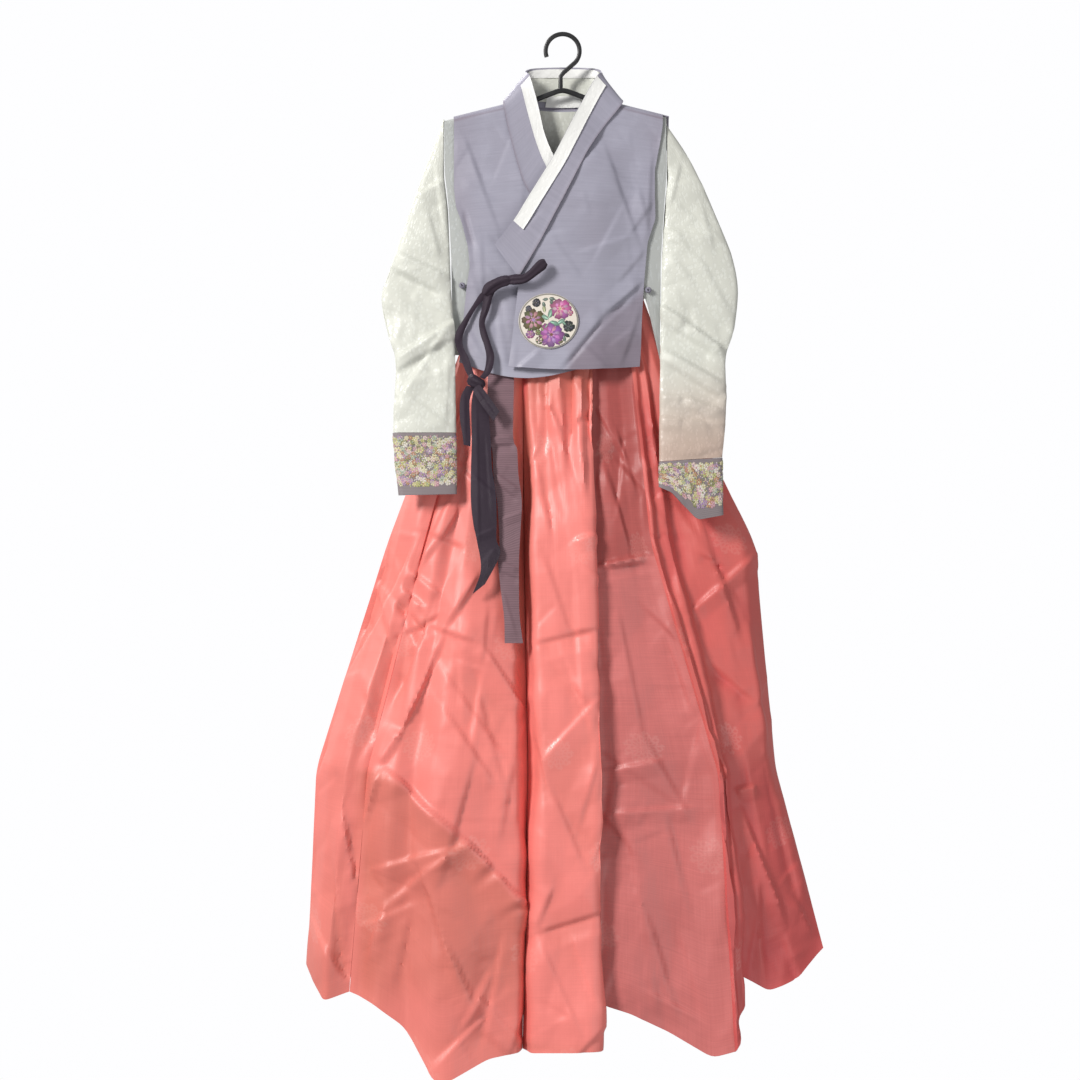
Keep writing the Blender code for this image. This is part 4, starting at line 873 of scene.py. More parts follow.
lavenderSilk = slubSilk("lavenderSilk", upper["lavender"], upper["lavenderShade"], 0.50)
ivorySatin = jacquardSatin("ivorySatin", upper["ivory"], (0.56, 0.565, 0.50), 0.42)
whiteSatin = jacquardSatin("whiteSatin", upper["white"], (0.78, 0.78, 0.76), 0.40)


def tintedSatin(name, tint):
    # the ivory satin, tinted where its tone attribute is low
    material = ivorySatin.copy()
    material.name = name
    tree = material.node_tree
    shader = tree.nodes["Principled BSDF"]
    before = shader.inputs["Base Color"].links[0].from_socket
    tinted = colourMix(tree, 1.0, before, tint, "MULTIPLY")
    share = calc(tree, "SUBTRACT", 1.0, toneOf(tree))
    tree.links.new(colourMix(tree, share, before, tinted), shader.inputs["Base Color"])
    return material


# painted shade: greyer beside the vest; painted light: a little pinker where the coral skirt shows through
# a sleeve
ivoryShaded = tintedSatin("ivoryShaded", (0.60, 0.62, 0.68))
ivorySleeve = tintedSatin("ivorySleeve", (0.80, 0.60, 0.55))


def noLift(x, drop):
    return 0.0 * x


def vestLift(x, drop):
    return 4.0 + 0.0 * x


bodyPanel("vest_front_over", frontPanel(vestOverRows, 24, overLift, 0.0, 5.0),
          upper["vestWall"], lavenderSilk, "lavender_silk", overCreases, 5)
bodyPanel("vest_front_under", frontPanel(vestUnderRows, 21, vestLift, 0.0, 20.0),
          upper["vestWall"], lavenderSilk, "lavender_silk", underCreases, 6, 0.8)
bodyPanel("vest_back", backPanel(vestBackRows, 42, 4.0, 0.0, 6.0),
          upper["vestWall"], lavenderSilk, "lavender_silk", backCreases, 7)
rightBody = frontPanel(ivoryRightRows, 18, noLift, upper["ivoryBelow"], 0.0)
rightBody[-1][:, 2] += 92.0 * np.clip(1.3 - np.arange(19) / 8.0, 0.0, 1.0)
bodyPanel("jeogori_front_right", rightBody, upper["ivoryWall"], ivoryShaded, "ivory_satin",
          [], 8, 0.4, ivoryTone)
leftBody = frontPanel(ivoryLeftRows, 18, noLift, upper["ivoryBelow"], 0.0)
corner = np.clip(np.arange(19) - 15.0, 0.0, 3.0) / 3.0
leftBody[-1][:, 2] += 96.0 * corner
leftBody[-1][:, 1] -= corner
bodyPanel("jeogori_front_left", leftBody, upper["ivoryWall"], ivoryShaded, "ivory_satin",
          [], 9, 0.4, ivoryTone)
bodyPanel("jeogori_back", backPanel(ivoryBackRows, 42, 0.0, upper["ivoryBelow"], 0.0),
          upper["ivoryWall"], ivorySatin, "ivory_satin", [], 10, 0.4)
print("bodies made")


# collar, its white strips, the neck lining and the blank label
collar = {
    "wall": 2.0,
    "stripWall": 1.0,
    "stripWidth": 20.0,
    "step": 2.2,
    "underLift": 8.0,
    "onPanel": 4.0,
    "tone": 0.92,
}

# the band's neck edge and seam edge: x, y, drop of each; no y means it lies on the front
collarRows = {
    "underEnd": (33, None, 259, -10, None, 303),
    "underLow": (8, None, 215, -30, None, 262),
    "underCross": (-13, None, 182, -52, None, 235),
    "underChest": (-27, None, 148, -66, None, 200),
    "underTop": (-37, None, 104, -82, None, 140),
    "leftFront": (-49, -14, 62, -89, -14, 104),
    "leftSide": (-56, 4, 53, -87, 2, 96),
    "leftBack": (-50, 18, 46, -72, 12, 101),
    "backLeft": (-28, 27, 43, -42, 17, 107),
    "backMiddle": (3, 29, 42, 1, 19, 109),
    "backRight": (34, 27, 43, 44, 17, 107),
    "rightBack": (54, 18, 46, 72, 12, 101),
    "rightSide": (59, 4, 54, 87, 2, 96),
    "rightFront": (51, -15, 62, 89, -15, 104),
    "overTop": (26, None, 106, 62, None, 138),
    "overChest": (5, None, 147, 40, None, 171),
    "overCross": (-13, None, 182, 22, None, 205),
    "overMiddle": (-33, None, 215, 4, None, 240),
    "overLow": (-53, None, 247, -13, None, 272),
    "overStripEnd": (-74, None, 281, -36, None, 315),
    "overEnd": (-102, None, 317, -66, None, 365),
}


def smoothRows(rows, steps):
    # extra rows between the given ones, on Catmull-Rom curves
    ends = np.concatenate([rows[:1], rows, rows[-1:]])
    result = []
    for index in range(len(rows) - 1):
        a, b, c, d = ends[index:index + 4]
        for t in np.arange(steps) / steps:
            result.append(0.5 * (2 * b + (c - a) * t + (2 * a - 5 * b + 4 * c - d) * t ** 2
                                 + (3 * b - a - 3 * c + d) * t ** 3))
    result.append(rows[-1])
    return np.array(result)


def collarGrid(first, last, start, end, lift, columns=14):
    # end is a share of the width, or the strip's own width in millimetres
    names = list(collarRows)
    places = []
    for name in names:
        row = list(collarRows[name])
        for y in (1, 4):
            if row[y] is None:
                x, drop = float(row[y - 1]), float(row[y + 1])
                if name.startswith("under"):
                    row[y] = -(frontDepth(x, drop) + collar["underLift"])
                else:
                    row[y] = -(frontDepth(x, drop) + overLift(x, drop) + collar["onPanel"])
        places.append(row)
    rows = smoothRows(np.array(places, float), 8)
    rows = rows[names.index(first) * 8:names.index(last) * 8 + 1]
    neck, seam = rows[:, None, :3], rows[:, None, 3:]
    width = np.linalg.norm(neck - seam, axis=2)
    shares = start + (np.where(end > 1.0, end / width, end) - start) \
        * np.linspace(0.0, 1.0, columns + 1)[None, :]
    grid = mix(neck, seam, shares[..., None])
    return grid + outward(grid) * lift


def collarPiece(node, grid, wall, material, slot, rows, seed):
    grid = refined(grid, collar["step"], 6.0, 3.0)
    x, drop = grid[..., 0], grid[..., 2]
    fine = strewn(seed, 14, (x.min(), drop.min(), x.max(), drop.max()), (20, 60), (6, 12),
                  (0.15, 0.5), 50, 40)
    heights = creases(x, drop, rows + fine)
    across = np.linspace(0.0, 1.0, grid.shape[1])[None, :] * np.ones(x.shape)
    # the folded edges are a little thicker than the middle
    heights += 0.5 * np.exp(-(np.minimum(across, 1.0 - across) * 12.0) ** 2) - 0.3
    # stitching darkens the vest collar's sewn edge
    seam = 0.0
    if node == "vest_collar":
        seam = upper["seamShade"] * np.exp(-((1.0 - across) * 26.0) ** 2)
    tone = 0.0 * x + collar["tone"] - seam
    piece = addCloth(node + "Cloth", pushed(grid, heights), wall, material, tone=tone)
    settle(piece, slot, node)
    return piece


collarPiece("vest_collar", collarGrid("underEnd", "overEnd", 0.0, 1.0, 0.0), collar["wall"],
            lavenderSilk, "lavender_silk", [(-30, 262, -70, 300, 9, -0.8)], 81)
strips = [("dongjeong_over", "rightFront", "overStripEnd", 82),
          ("dongjeong_under", "underLow", "leftFront", 83)]
for node, first, last, seed in strips:
    collarPiece(node, collarGrid(first, last, 0.01, collar["stripWidth"], 1.5),
                collar["stripWall"], whiteSatin, "white_strip", [], seed)
collarPiece("jeogori_collar", collarGrid("leftFront", "rightFront", 0.06, 0.82, -2.8),
            upper["ivoryWall"], ivorySatin, "ivory_satin", [], 84)
collarPiece("dongjeong_back", collarGrid("leftSide", "rightSide", 0.06, 0.26, -4.8),
            collar["stripWall"], whiteSatin, "white_strip", [], 85)
label = collarGrid("backLeft", "backRight", 0.68, 0.95, -4.6)
middle = label.shape[0] // 2
collarPiece("neck_label", label[middle - 5:middle + 6], 0.8, whiteSatin, "white_strip", [], 86)
print("collar made")


# sleeves and cuffs
sleeve = {
    "step": 3.0,
    "wall": 1.2,
    "cuffWall": 1.2,
    "creaseScale": 1.6,
    "facets": (52.0, 36.0, 24.0, 2.0),      # cell width, cell height, lean and height
}

# rings of a flat tube: left x, its drop, right x, its drop, middle y, half its depth
rightSleeveRows = [(-179, 124, -178.5, 212, 0, 8.5), (-198, 176, -176, 228, -1, 8.5),
                   (-219, 232, -172, 262, -3, 8), (-240, 294, -170, 300, -6, 8),
                   (-261, 356, -168, 345, -11, 7.5), (-272, 394, -166, 388, -15, 7),
                   (-264, 442, -162, 436, -21, 7), (-250, 488, -160, 480, -28, 6.5),
                   (-251, 540, -159, 532, -37, 6.5), (-253, 597.5, -157.5, 597.5, -47, 7)]
rightCuffRows = [(-253, 598, -157.5, 598, -47, 7), (-249, 645, -157, 645, -52, 7),
                 (-244, 691, -156.5, 689, -57, 7)]
leftSleeveRows = [(157, 218, 157, 134, 0, 8.5), (155.5, 236, 188, 180, -1, 8.5),
                  (152, 270, 214, 232, -3, 8), (150, 308, 236, 284, -6, 8),
                  (148, 345, 255, 334, -11, 7.5), (146.5, 392, 263, 386, -15, 7),
                  (145.5, 440, 256, 446, -21, 7), (145, 485, 244, 484, -28, 6.5),
                  (143.5, 540, 244, 536, -37, 6.5), (143, 590, 242, 588, -46, 6.5),
                  (142, 640.5, 237, 634.5, -52, 7)]
leftCuffRows = [(142, 641, 237, 635, -52, 7), (141.5, 662, 237, 675, -57, 7),
                (141, 678, 238, 720, -61, 7)]
leftCuffCorner = 24.0

rightSleeveCreases = [
    (-222, 243, -178, 218, 12, 2.6), (-250, 327, -167, 367, 13, 4.5), (-262, 350, -180, 392, 16, -3.6),
    (-247, 488, -160, 429, 11, 5.0), (-250, 510, -170, 462, 14, -3.2), (-253, 564, -170, 437, 10, 2.6),
    (-205, 260, -184, 340, 12, 1.5), (-258, 420, -190, 440, 14, 1.6), (-240, 400, -176, 420, 12, -1.4),
    (-236, 540, -168, 590, 14, 1.6), (-170, 480, -176, 590, 12, 1.6), (-250, 300, -200, 310, 10, 1.0),
    (-196, 190, -180, 300, 10, -1.4),
]
leftSleeveCreases = [
    (148, 292, 226, 306, 9, 2.6), (145, 406, 186, 434, 10, 4.6), (186, 434, 244, 478, 10, 5.0),
    (150, 436, 232, 486, 14, -2.6), (145, 471, 244, 530, 11, 4.2), (146, 492, 240, 552, 12, -3.4),
    (145, 542, 179, 546, 9, 3.4), (179, 546, 241, 567, 9, 3.6), (145, 576, 179, 580, 9, 2.6),
    (179, 580, 244, 586, 9, 2.6), (180, 556, 238, 600, 11, -2.2), (160, 330, 200, 380, 14, 1.4),
    (200, 330, 250, 420, 14, 1.6), (165, 250, 200, 280, 10, 1.4), (206, 250, 226, 330, 12, 1.2),
    (190, 396, 252, 446, 20, -2.2), (150, 604, 220, 626, 10, 1.4), (176, 190, 160, 260, 9, 1.4),
]
sleeveBackCreases = [
    (-250, 330, -170, 380, 14, 3.0), (-248, 500, -162, 450, 12, 3.4), (-240, 420, -175, 440, 14, -2.0),
    (150, 320, 250, 370, 14, 3.0), (148, 450, 240, 500, 12, 3.4), (150, 550, 240, 560, 10, 2.4),
    (-200, 220, -180, 300, 12, 1.6), (170, 220, 210, 290, 12, 1.6),
]


def tubeRings(rows, points=48, corner=0.0):
    rings = smoothRows(np.array(rows, float), 8)
    angle = math.pi - 2.0 * math.pi * np.arange(points) / points
    across = 0.5 + 0.5 * np.cos(angle)[None, :]
    bow = (np.sign(np.sin(angle)) * np.abs(np.sin(angle)) ** 0.7)[None, :]
    x = mix(rings[:, 0:1], rings[:, 2:3], across)
    drop = mix(rings[:, 1:2], rings[:, 3:4], across)
    dip = corner * np.linspace(0.0, 1.0, len(rings))[:, None]
    drop = drop + dip * np.clip(1.0 - np.abs(across - 0.6) / 0.4, 0.0, None)
    y = rings[:, 4:5] - rings[:, 5:6] * bow
    return np.stack([x, y, drop], axis=2)


def sleeveTube(name, rows, frontRows, seed, nodes):
    grid = refined(tubeRings(rows), sleeve["step"], 8.0, 3.0, True)
    x, drop = grid[..., 0], grid[..., 2]
    facing = -outward(grid)[..., 1]
    area = (x.min(), drop.min() + 20.0, x.max(), drop.max())
    fine = strewn(seed, 44, area, (25, 100), (6, 18), (0.4, 1.4), 60, 35)
    front = creases(x, drop, frontRows) * sleeve["creaseScale"] + creases(x, drop, fine)
    front += facets(x, drop, seed, *sleeve["facets"])
    back = creases(x, drop, sleeveBackCreases) * sleeve["creaseScale"]
    heights = np.where(facing > 0, front * ramp(facing, 0.2, 0.8), back * ramp(-facing, 0.2, 0.8))
    down = np.linspace(0.0, 1.0, grid.shape[0])[:, None]
    heights *= ramp(down, 0.0, 0.05) * ramp(1.0 - down, 0.0, 0.02)
    # painted light: the left sleeve turns pinker towards its cuff, where the coral skirt shows through
    piece = addCloth(name, pushed(grid, heights), sleeve["wall"], ivorySleeve, True,
                     tone=1.0 - ramp(drop, 470.0, 640.0) * ramp(x, 60.0, 100.0))
    settle(piece, "ivory_satin", *nodes)
    return piece


sleeveTube("sleeveRightCloth", rightSleeveRows, rightSleeveCreases, 91,
           ("sleeve_right_front", "sleeve_right_back"))
sleeveTube("sleeveLeftCloth", leftSleeveRows, leftSleeveCreases, 92,
           ("sleeve_left_front", "sleeve_left_back"))
print("sleeves made")


# cuffs: a grey band with small embroidered flowers sewn thickly on it
cuff = {
    "ground": (0.245, 0.205, 0.215),
    "topBand": 6.0,
    "bottomBand": 13.0,
    "flowerPitch": 5.2,
    "threads": ((0.62, 0.62, 0.26), (0.88, 0.84, 0.60), (0.78, 0.46, 0.52), (0.52, 0.36, 0.54),
                (0.34, 0.34, 0.15), (0.62, 0.34, 0.20), (0.92, 0.87, 0.78), (0.55, 0.62, 0.50),
                (0.86, 0.80, 0.50), (0.80, 0.72, 0.36), (0.90, 0.70, 0.66)),
}


def bandSilk(name, colour):
    material, tree, shader = newMaterial(name, 0.58, 0.2)
    ribs = threads(tree, flatCloth(tree), 0.0022, "Y", 0.6)
    patchy = cloudy(tree, flatCloth(tree), 60.0, 3.0)
    darker = tuple(value * 0.72 for value in colour)
    share = calc(tree, "ADD", calc(tree, "MULTIPLY", ribs, 0.5), calc(tree, "MULTIPLY", patchy, 0.5))
    tree.links.new(colourMix(tree, share, darker, colour), shader.inputs["Base Color"])
    bumped(tree, shader, ribs, 0.0003, 0.5)
    return material


def threadMaterial(name):
    # embroidery thread: its colour is on the mesh, with fine strands and a silky gloss
    material, tree, shader = newMaterial(name, 0.46, 0.25)
    colours = tree.nodes.new("ShaderNodeAttribute")
    colours.attribute_name = "threadColour"
    source = tree.nodes.new("ShaderNodeTexCoord")
    strands = cloudy(tree, source.outputs["Object"], 900.0, 2.0)
    dark = colourMix(tree, 1.0, colours.outputs["Color"], (0.62, 0.60, 0.60), "MULTIPLY")
    tree.links.new(colourMix(tree, strands, dark, colours.outputs["Color"]),
                   shader.inputs["Base Color"])
    bumped(tree, shader, strands, 0.0004, 0.6)
    return material


threadGloss = threadMaterial("embroideryThread")


class StitchMesh:
    # gathers many small raised shapes into one mesh with a colour at each point
    def __init__(self):
        self.points, self.faces, self.colours = [], [], []

    pointed = ((0.0, 0.0), (0.22, 0.40), (0.60, 0.5), (1.0, 0.0), (0.60, -0.5), (0.22, -0.40))
    rounded = ((0.0, 0.0), (0.38, 0.34), (0.76, 0.5), (0.98, 0.26), (0.94, 0.0), (0.98, -0.26),
               (0.76, -0.5), (0.38, -0.34))

    def leaf(self, surface, x, drop, length, width, angle, rise, colour, rimShadeShare=0.75, outline=pointed):
        # a domed patch lying on a surface, which gives a place for any x and drop
        start = len(self.points)
        alongX, alongDrop = math.cos(angle), math.sin(angle)
        ring = []
        for share, side in outline:
            across = side * width
            ring.append((x + alongX * length * share - alongDrop * across,
                         drop + alongDrop * length * share + alongX * across))
        middle = (x + alongX * length * 0.5, drop + alongDrop * length * 0.5)
        # painted shade: the outline, at the foot of the dome, is darker than the raised middle
        for placeX, placeDrop in ring:
            self.points.append(surface(placeX, placeDrop, 0.0))
            self.colours.append(tuple(value * rimShadeShare for value in colour))
        self.points.append(surface(*middle, rise))
        self.colours.append(colour)
        count = len(outline)
        for index in range(count):
            self.faces.append((start + count, start + index, start + (index + 1) % count))

    def bloom(self, surface, x, drop, radius, petals, colour, heart, angle=0.0, rise=0.9):
        for petal in range(petals):
            turn = angle + 2.0 * math.pi * petal / petals
            self.leaf(surface, x, drop, radius, radius * 4.2 / petals, turn, rise, colour, 0.62,
                      self.rounded)
        for petal in range(4):
            self.leaf(surface, x, drop, radius * 0.34, radius * 0.34,
                      angle + 1.57 * petal, rise * 1.3, heart, 0.8)

    def made(self, name, material):
        mesh = bpy.data.meshes.new(name)
        points = np.array(self.points) * 0.001
        points[:, 2] *= -1.0
        mesh.from_pydata(points.tolist(), [], self.faces)
        layer = mesh.attributes.new("threadColour", "FLOAT_COLOR", "POINT")
        colours = np.array([(*colour, 1.0) for colour in self.colours], np.float32)
        layer.data.foreach_set("color", colours.ravel())
        mesh.materials.append(material)
        piece = bpy.data.objects.new(name, mesh)
        bpy.context.collection.objects.link(piece)
        deselectAll()
        bpy.context.view_layer.objects.active = piece
        piece.select_set(True)
        bpy.ops.object.mode_set(mode="EDIT")
        bpy.ops.mesh.select_all(action="SELECT")
        bpy.ops.mesh.normals_make_consistent(inside=False)
        bpy.ops.object.mode_set(mode="OBJECT")
        bpy.ops.object.shade_smooth()
        return piece


def cuffEmbroidery(name, grid, seed):
    # flowers follow the tube's own grid, front and back alike
    draw = random.Random(seed)
    rows, columns = grid.shape[:2]
    normals = outward(grid)
    across = np.linalg.norm(np.diff(grid, axis=1), axis=2).mean(axis=0).sum()
    down = np.linalg.norm(np.diff(grid, axis=0), axis=2).mean(axis=1).sum()

    def surface(place, depth, rise):
        column = (place / across) % 1.0 * (columns - 1)
        row = np.clip(depth / down, 0.0, 1.0) * (rows - 1)
        left, top = int(column), min(int(row), rows - 2)
        right = min(left + 1, columns - 1)
        shareX, shareY = column - left, row - top
        place = mix(mix(grid[top, left], grid[top, right], shareX),
                    mix(grid[top + 1, left], grid[top + 1, right], shareX), shareY)
        return place + normals[top, left] * (0.25 + rise)

    stitches = StitchMesh()
    pitch = cuff["flowerPitch"]
    depth = cuff["topBand"] + 1.0
    while depth < down - cuff["bottomBand"]:
        place = draw.uniform(0.0, pitch)
        while place < across:
            x = place + draw.uniform(-1.2, 1.2)
            y = min(depth + draw.uniform(-1.3, 1.3), down - cuff["bottomBand"] - 1.5)
            y = max(y, cuff["topBand"] + 1.5)
            colour = draw.choice(cuff["threads"])
            lighter = draw.choice(cuff["threads"])
            if draw.random() < 0.50:
                stitches.bloom(surface, x, y, draw.uniform(3.2, 5.2), 5, colour, lighter,
                               draw.uniform(0.0, 6.0), 0.9)
            else:
                for _ in range(3):
                    stitches.leaf(surface, x, y, draw.uniform(3.0, 5.6), draw.uniform(1.0, 1.8),
                                  draw.uniform(0.0, 6.28), 0.6, draw.choice(cuff["threads"]), 0.65)
            place += pitch * draw.uniform(0.75, 1.2)
        depth += pitch * 0.78
    return stitches.made(name, threadGloss)


def addCuff(name, node, rows, corner, seed):
    grid = refined(tubeRings(rows, 48, corner), 2.2, 4.0, 3.0, True)
    x, drop = grid[..., 0], grid[..., 2]
    area = (x.min(), drop.min(), x.max(), drop.max())
    heights = creases(x, drop, strewn(seed, 12, area, (20, 70), (6, 12), (0.3, 0.8), 60, 40))
    grid = pushed(grid, heights)
    band = addCloth(name, grid, sleeve["cuffWall"], cuffBand, True)
    settle(band, "cuff_brocade", node)
    flowers = cuffEmbroidery(name + "Flowers", grid, seed + 1)
    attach(flowers, "root")
    return band, flowers


cuffBand = bandSilk("cuffBand", cuff["ground"])
addCuff("cuffRightCloth", "cuff_right", rightCuffRows, 0.0, 101)
addCuff("cuffLeftCloth", "cuff_left", leftCuffRows, leftCuffCorner, 111)
print("cuffs made")


# the round embroidered patch
patch = {
    "x": -21.5,
    "drop": 431.0,
    "halfWidth": 44.5,
    "halfHeight": 41.5,
    "lift": 2.3,
    "wall": 1.2,
    "ground": (0.80, 0.74, 0.66),
}

# peonies and small flowers: across, down (shares of the patch), radius, petals, outer and
# inner colour, heart
blooms = [
    (0.40, -0.44, 0.36, 7, (0.62, 0.15, 0.36), (0.80, 0.42, 0.58), (0.88, 0.80, 0.50)),
    (-0.50, -0.04, 0.38, 8, (0.17, 0.14, 0.06), (0.58, 0.30, 0.42), (0.62, 0.42, 0.82)),
    (0.10, 0.50, 0.42, 8, (0.40, 0.14, 0.44), (0.62, 0.30, 0.58), (0.30, 0.13, 0.08)),
    (0.68, 0.20, 0.20, 6, (0.035, 0.045, 0.045), (0.10, 0.12, 0.12), (0.30, 0.34, 0.30)),
    (-0.40, -0.66, 0.15, 5, (0.04, 0.04, 0.045), (0.12, 0.12, 0.13), (0.40, 0.36, 0.34)),
    (-0.66, -0.44, 0.11, 5, (0.06, 0.06, 0.07), (0.20, 0.19, 0.22), (0.50, 0.45, 0.48)),
    (-0.60, 0.48, 0.15, 6, (0.38, 0.14, 0.32), (0.66, 0.36, 0.52), (0.80, 0.72, 0.44)),
    (-0.30, 0.70, 0.14, 5, (0.16, 0.15, 0.07), (0.82, 0.76, 0.68), (0.20, 0.10, 0.10)),
    (-0.34, 0.42, 0.10, 5, (0.20, 0.22, 0.09), (0.42, 0.44, 0.22), (0.70, 0.64, 0.30)),
    (0.72, -0.30, 0.11, 5, (0.58, 0.20, 0.36), (0.80, 0.52, 0.60), (0.86, 0.78, 0.46)),
]
# leaves: across, down, length, width, direction in degrees, colour
leaves = [
    (0.02, -0.10, 0.42, 0.20, -70, (0.30, 0.52, 0.38)), (0.02, -0.06, 0.36, 0.18, 205, (0.36, 0.58, 0.44)),
    (0.04, 0.02, 0.40, 0.18, 20, (0.28, 0.50, 0.38)), (0.30, 0.10, 0.34, 0.16, 330, (0.34, 0.56, 0.44)),
    (-0.02, 0.10, 0.30, 0.16, 120, (0.24, 0.40, 0.28)), (0.46, 0.02, 0.30, 0.15, 40, (0.20, 0.34, 0.25)),
    (0.02, -0.82, 0.24, 0.14, 10, (0.22, 0.28, 0.24)), (0.00, -0.80, 0.22, 0.12, 170, (0.26, 0.33, 0.28)),
    (0.06, -0.76, 0.22, 0.13, 60, (0.16, 0.22, 0.18)), (-0.18, -0.70, 0.24, 0.13, 75, (0.20, 0.27, 0.22)),
    (-0.62, 0.22, 0.26, 0.13, 100, (0.18, 0.19, 0.08)), (-0.24, 0.22, 0.24, 0.12, 60, (0.30, 0.34, 0.16)),
    (0.52, 0.46, 0.26, 0.14, 30, (0.05, 0.06, 0.06)), (0.50, 0.52, 0.26, 0.13, 75, (0.22, 0.30, 0.24)),
    (-0.12, -0.30, 0.30, 0.13, 260, (0.55, 0.60, 0.35)), (0.20, -0.14, 0.28, 0.13, 290, (0.84, 0.78, 0.52)),
    (-0.80, 0.02, 0.18, 0.12, 60, (0.10, 0.11, 0.06)), (0.30, 0.80, 0.24, 0.13, 340, (0.24, 0.20, 0.12)),
    (-0.06, 0.78, 0.20, 0.12, 150, (0.40, 0.20, 0.36)), (-0.16, 0.56, 0.20, 0.10, 200, (0.30, 0.33, 0.18)),
]


def patchSurface(x, drop, rise):
    x, drop = float(x), float(drop)
    return (x, -(frontDepth(x, drop) + overLift(x, drop) + patch["lift"] + 0.15 + rise), drop)


def patchGround():
    # a disc of satin with a corded rim; its rings start at the middle
    rings, spokes = 44, 96
    angle = 2.0 * math.pi * np.arange(spokes + 1)[None, :] / spokes
    radius = np.linspace(0.012, 1.0, rings + 1)[:, None]
    x = patch["x"] + patch["halfWidth"] * radius * np.cos(angle)
    drop = patch["drop"] + patch["halfHeight"] * radius * np.sin(angle)
    rim = np.clip(1.0 - np.abs(radius - 0.972) / 0.028, 0.0, 1.0) ** 0.5 * 0.5
    y = -(frontDepth(x, drop) + overLift(x, drop) + patch["lift"] + rim)
    grid = np.stack([x, y, drop], axis=2)[::-1]
    return addCloth("medallionCloth", grid, patch["wall"], patchSatin, True,
                    tone=np.clip(1.0 - rim[::-1] * 2.0, 0.0, 1.0) + 0.0 * x)


def patchMaterial():
    material, tree, shader = newMaterial("patchSatin", 0.5, 0.2)
    source = tree.nodes.new("ShaderNodeTexCoord")
    strands = cloudy(tree, source.outputs["Object"], 620.0, 2.0)
    ground = colourMix(tree, strands, (0.62, 0.56, 0.48), patch["ground"])
    tree.links.new(colourMix(tree, toneOf(tree), (0.06, 0.065, 0.055), ground),
                   shader.inputs["Base Color"])
    bumped(tree, shader, strands, 0.0004, 0.5)
    return material


def patchFlowers():
    draw = random.Random(5)
    stitches = StitchMesh()
    size = patch["halfHeight"]
    for across, down, length, width, direction, colour in leaves:
        x, drop = patch["x"] + across * patch["halfWidth"], patch["drop"] + down * size
        turn = math.radians(direction)
        stitches.leaf(patchSurface, x, drop, length * size, width * size, turn, 0.7, colour, 0.4)
        stitches.leaf(patchSurface, x, drop, length * size * 0.7, width * size * 0.3, turn, 1.2,
                      tuple(min(value * 1.7, 1.0) for value in colour), 0.9)
    for across, down, radius, petals, outer, inner, heart in blooms:
        x, drop = patch["x"] + across * patch["halfWidth"], patch["drop"] + down * size
        reach = radius * size * 1.12
        # the last number of each round is how much colour its outline keeps under the painted shade
        rounds = ((1.0, outer, 0.9, 0.45), (0.78, inner, 1.5, 0.5), (0.52, outer, 1.9, 0.7),
                  (0.36, inner, 2.2, 0.8))
        for number, (share, colour, rise, rimShadeShare) in enumerate(rounds):
            count = petals - number // 2
            for petal in range(count):
                turn = 2.0 * math.pi * (petal + 0.5 * number) / count + draw.uniform(-0.12, 0.12)
                shade = tuple(min(value * draw.uniform(0.8, 1.25), 1.0) for value in colour)
                stitches.leaf(patchSurface, x, drop, reach * share * draw.uniform(0.9, 1.08),
                              reach * share * 5.0 / count, turn, rise, shade, rimShadeShare,
                              stitches.rounded)
        for petal in range(5):
            stitches.leaf(patchSurface, x, drop, reach * 0.2, reach * 0.14, 1.26 * petal, 2.5,
                          heart, 0.85)
    return stitches.made("medallionFlowers", threadGloss)


patchSatin = patchMaterial()
medallionGround = patchGround()
settle(medallionGround, "medallion_embroidery", "medallion")
medallionFlowers = patchFlowers()
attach(medallionFlowers, "root")
print("patch made")


# ties: gathered loop and knots, flat strands and free tails
ties = {
    "wall": 1.2,
    "step": 1.6,
    "plum": (0.030, 0.019, 0.031),
    "mauve": (0.175, 0.105, 0.122),
}

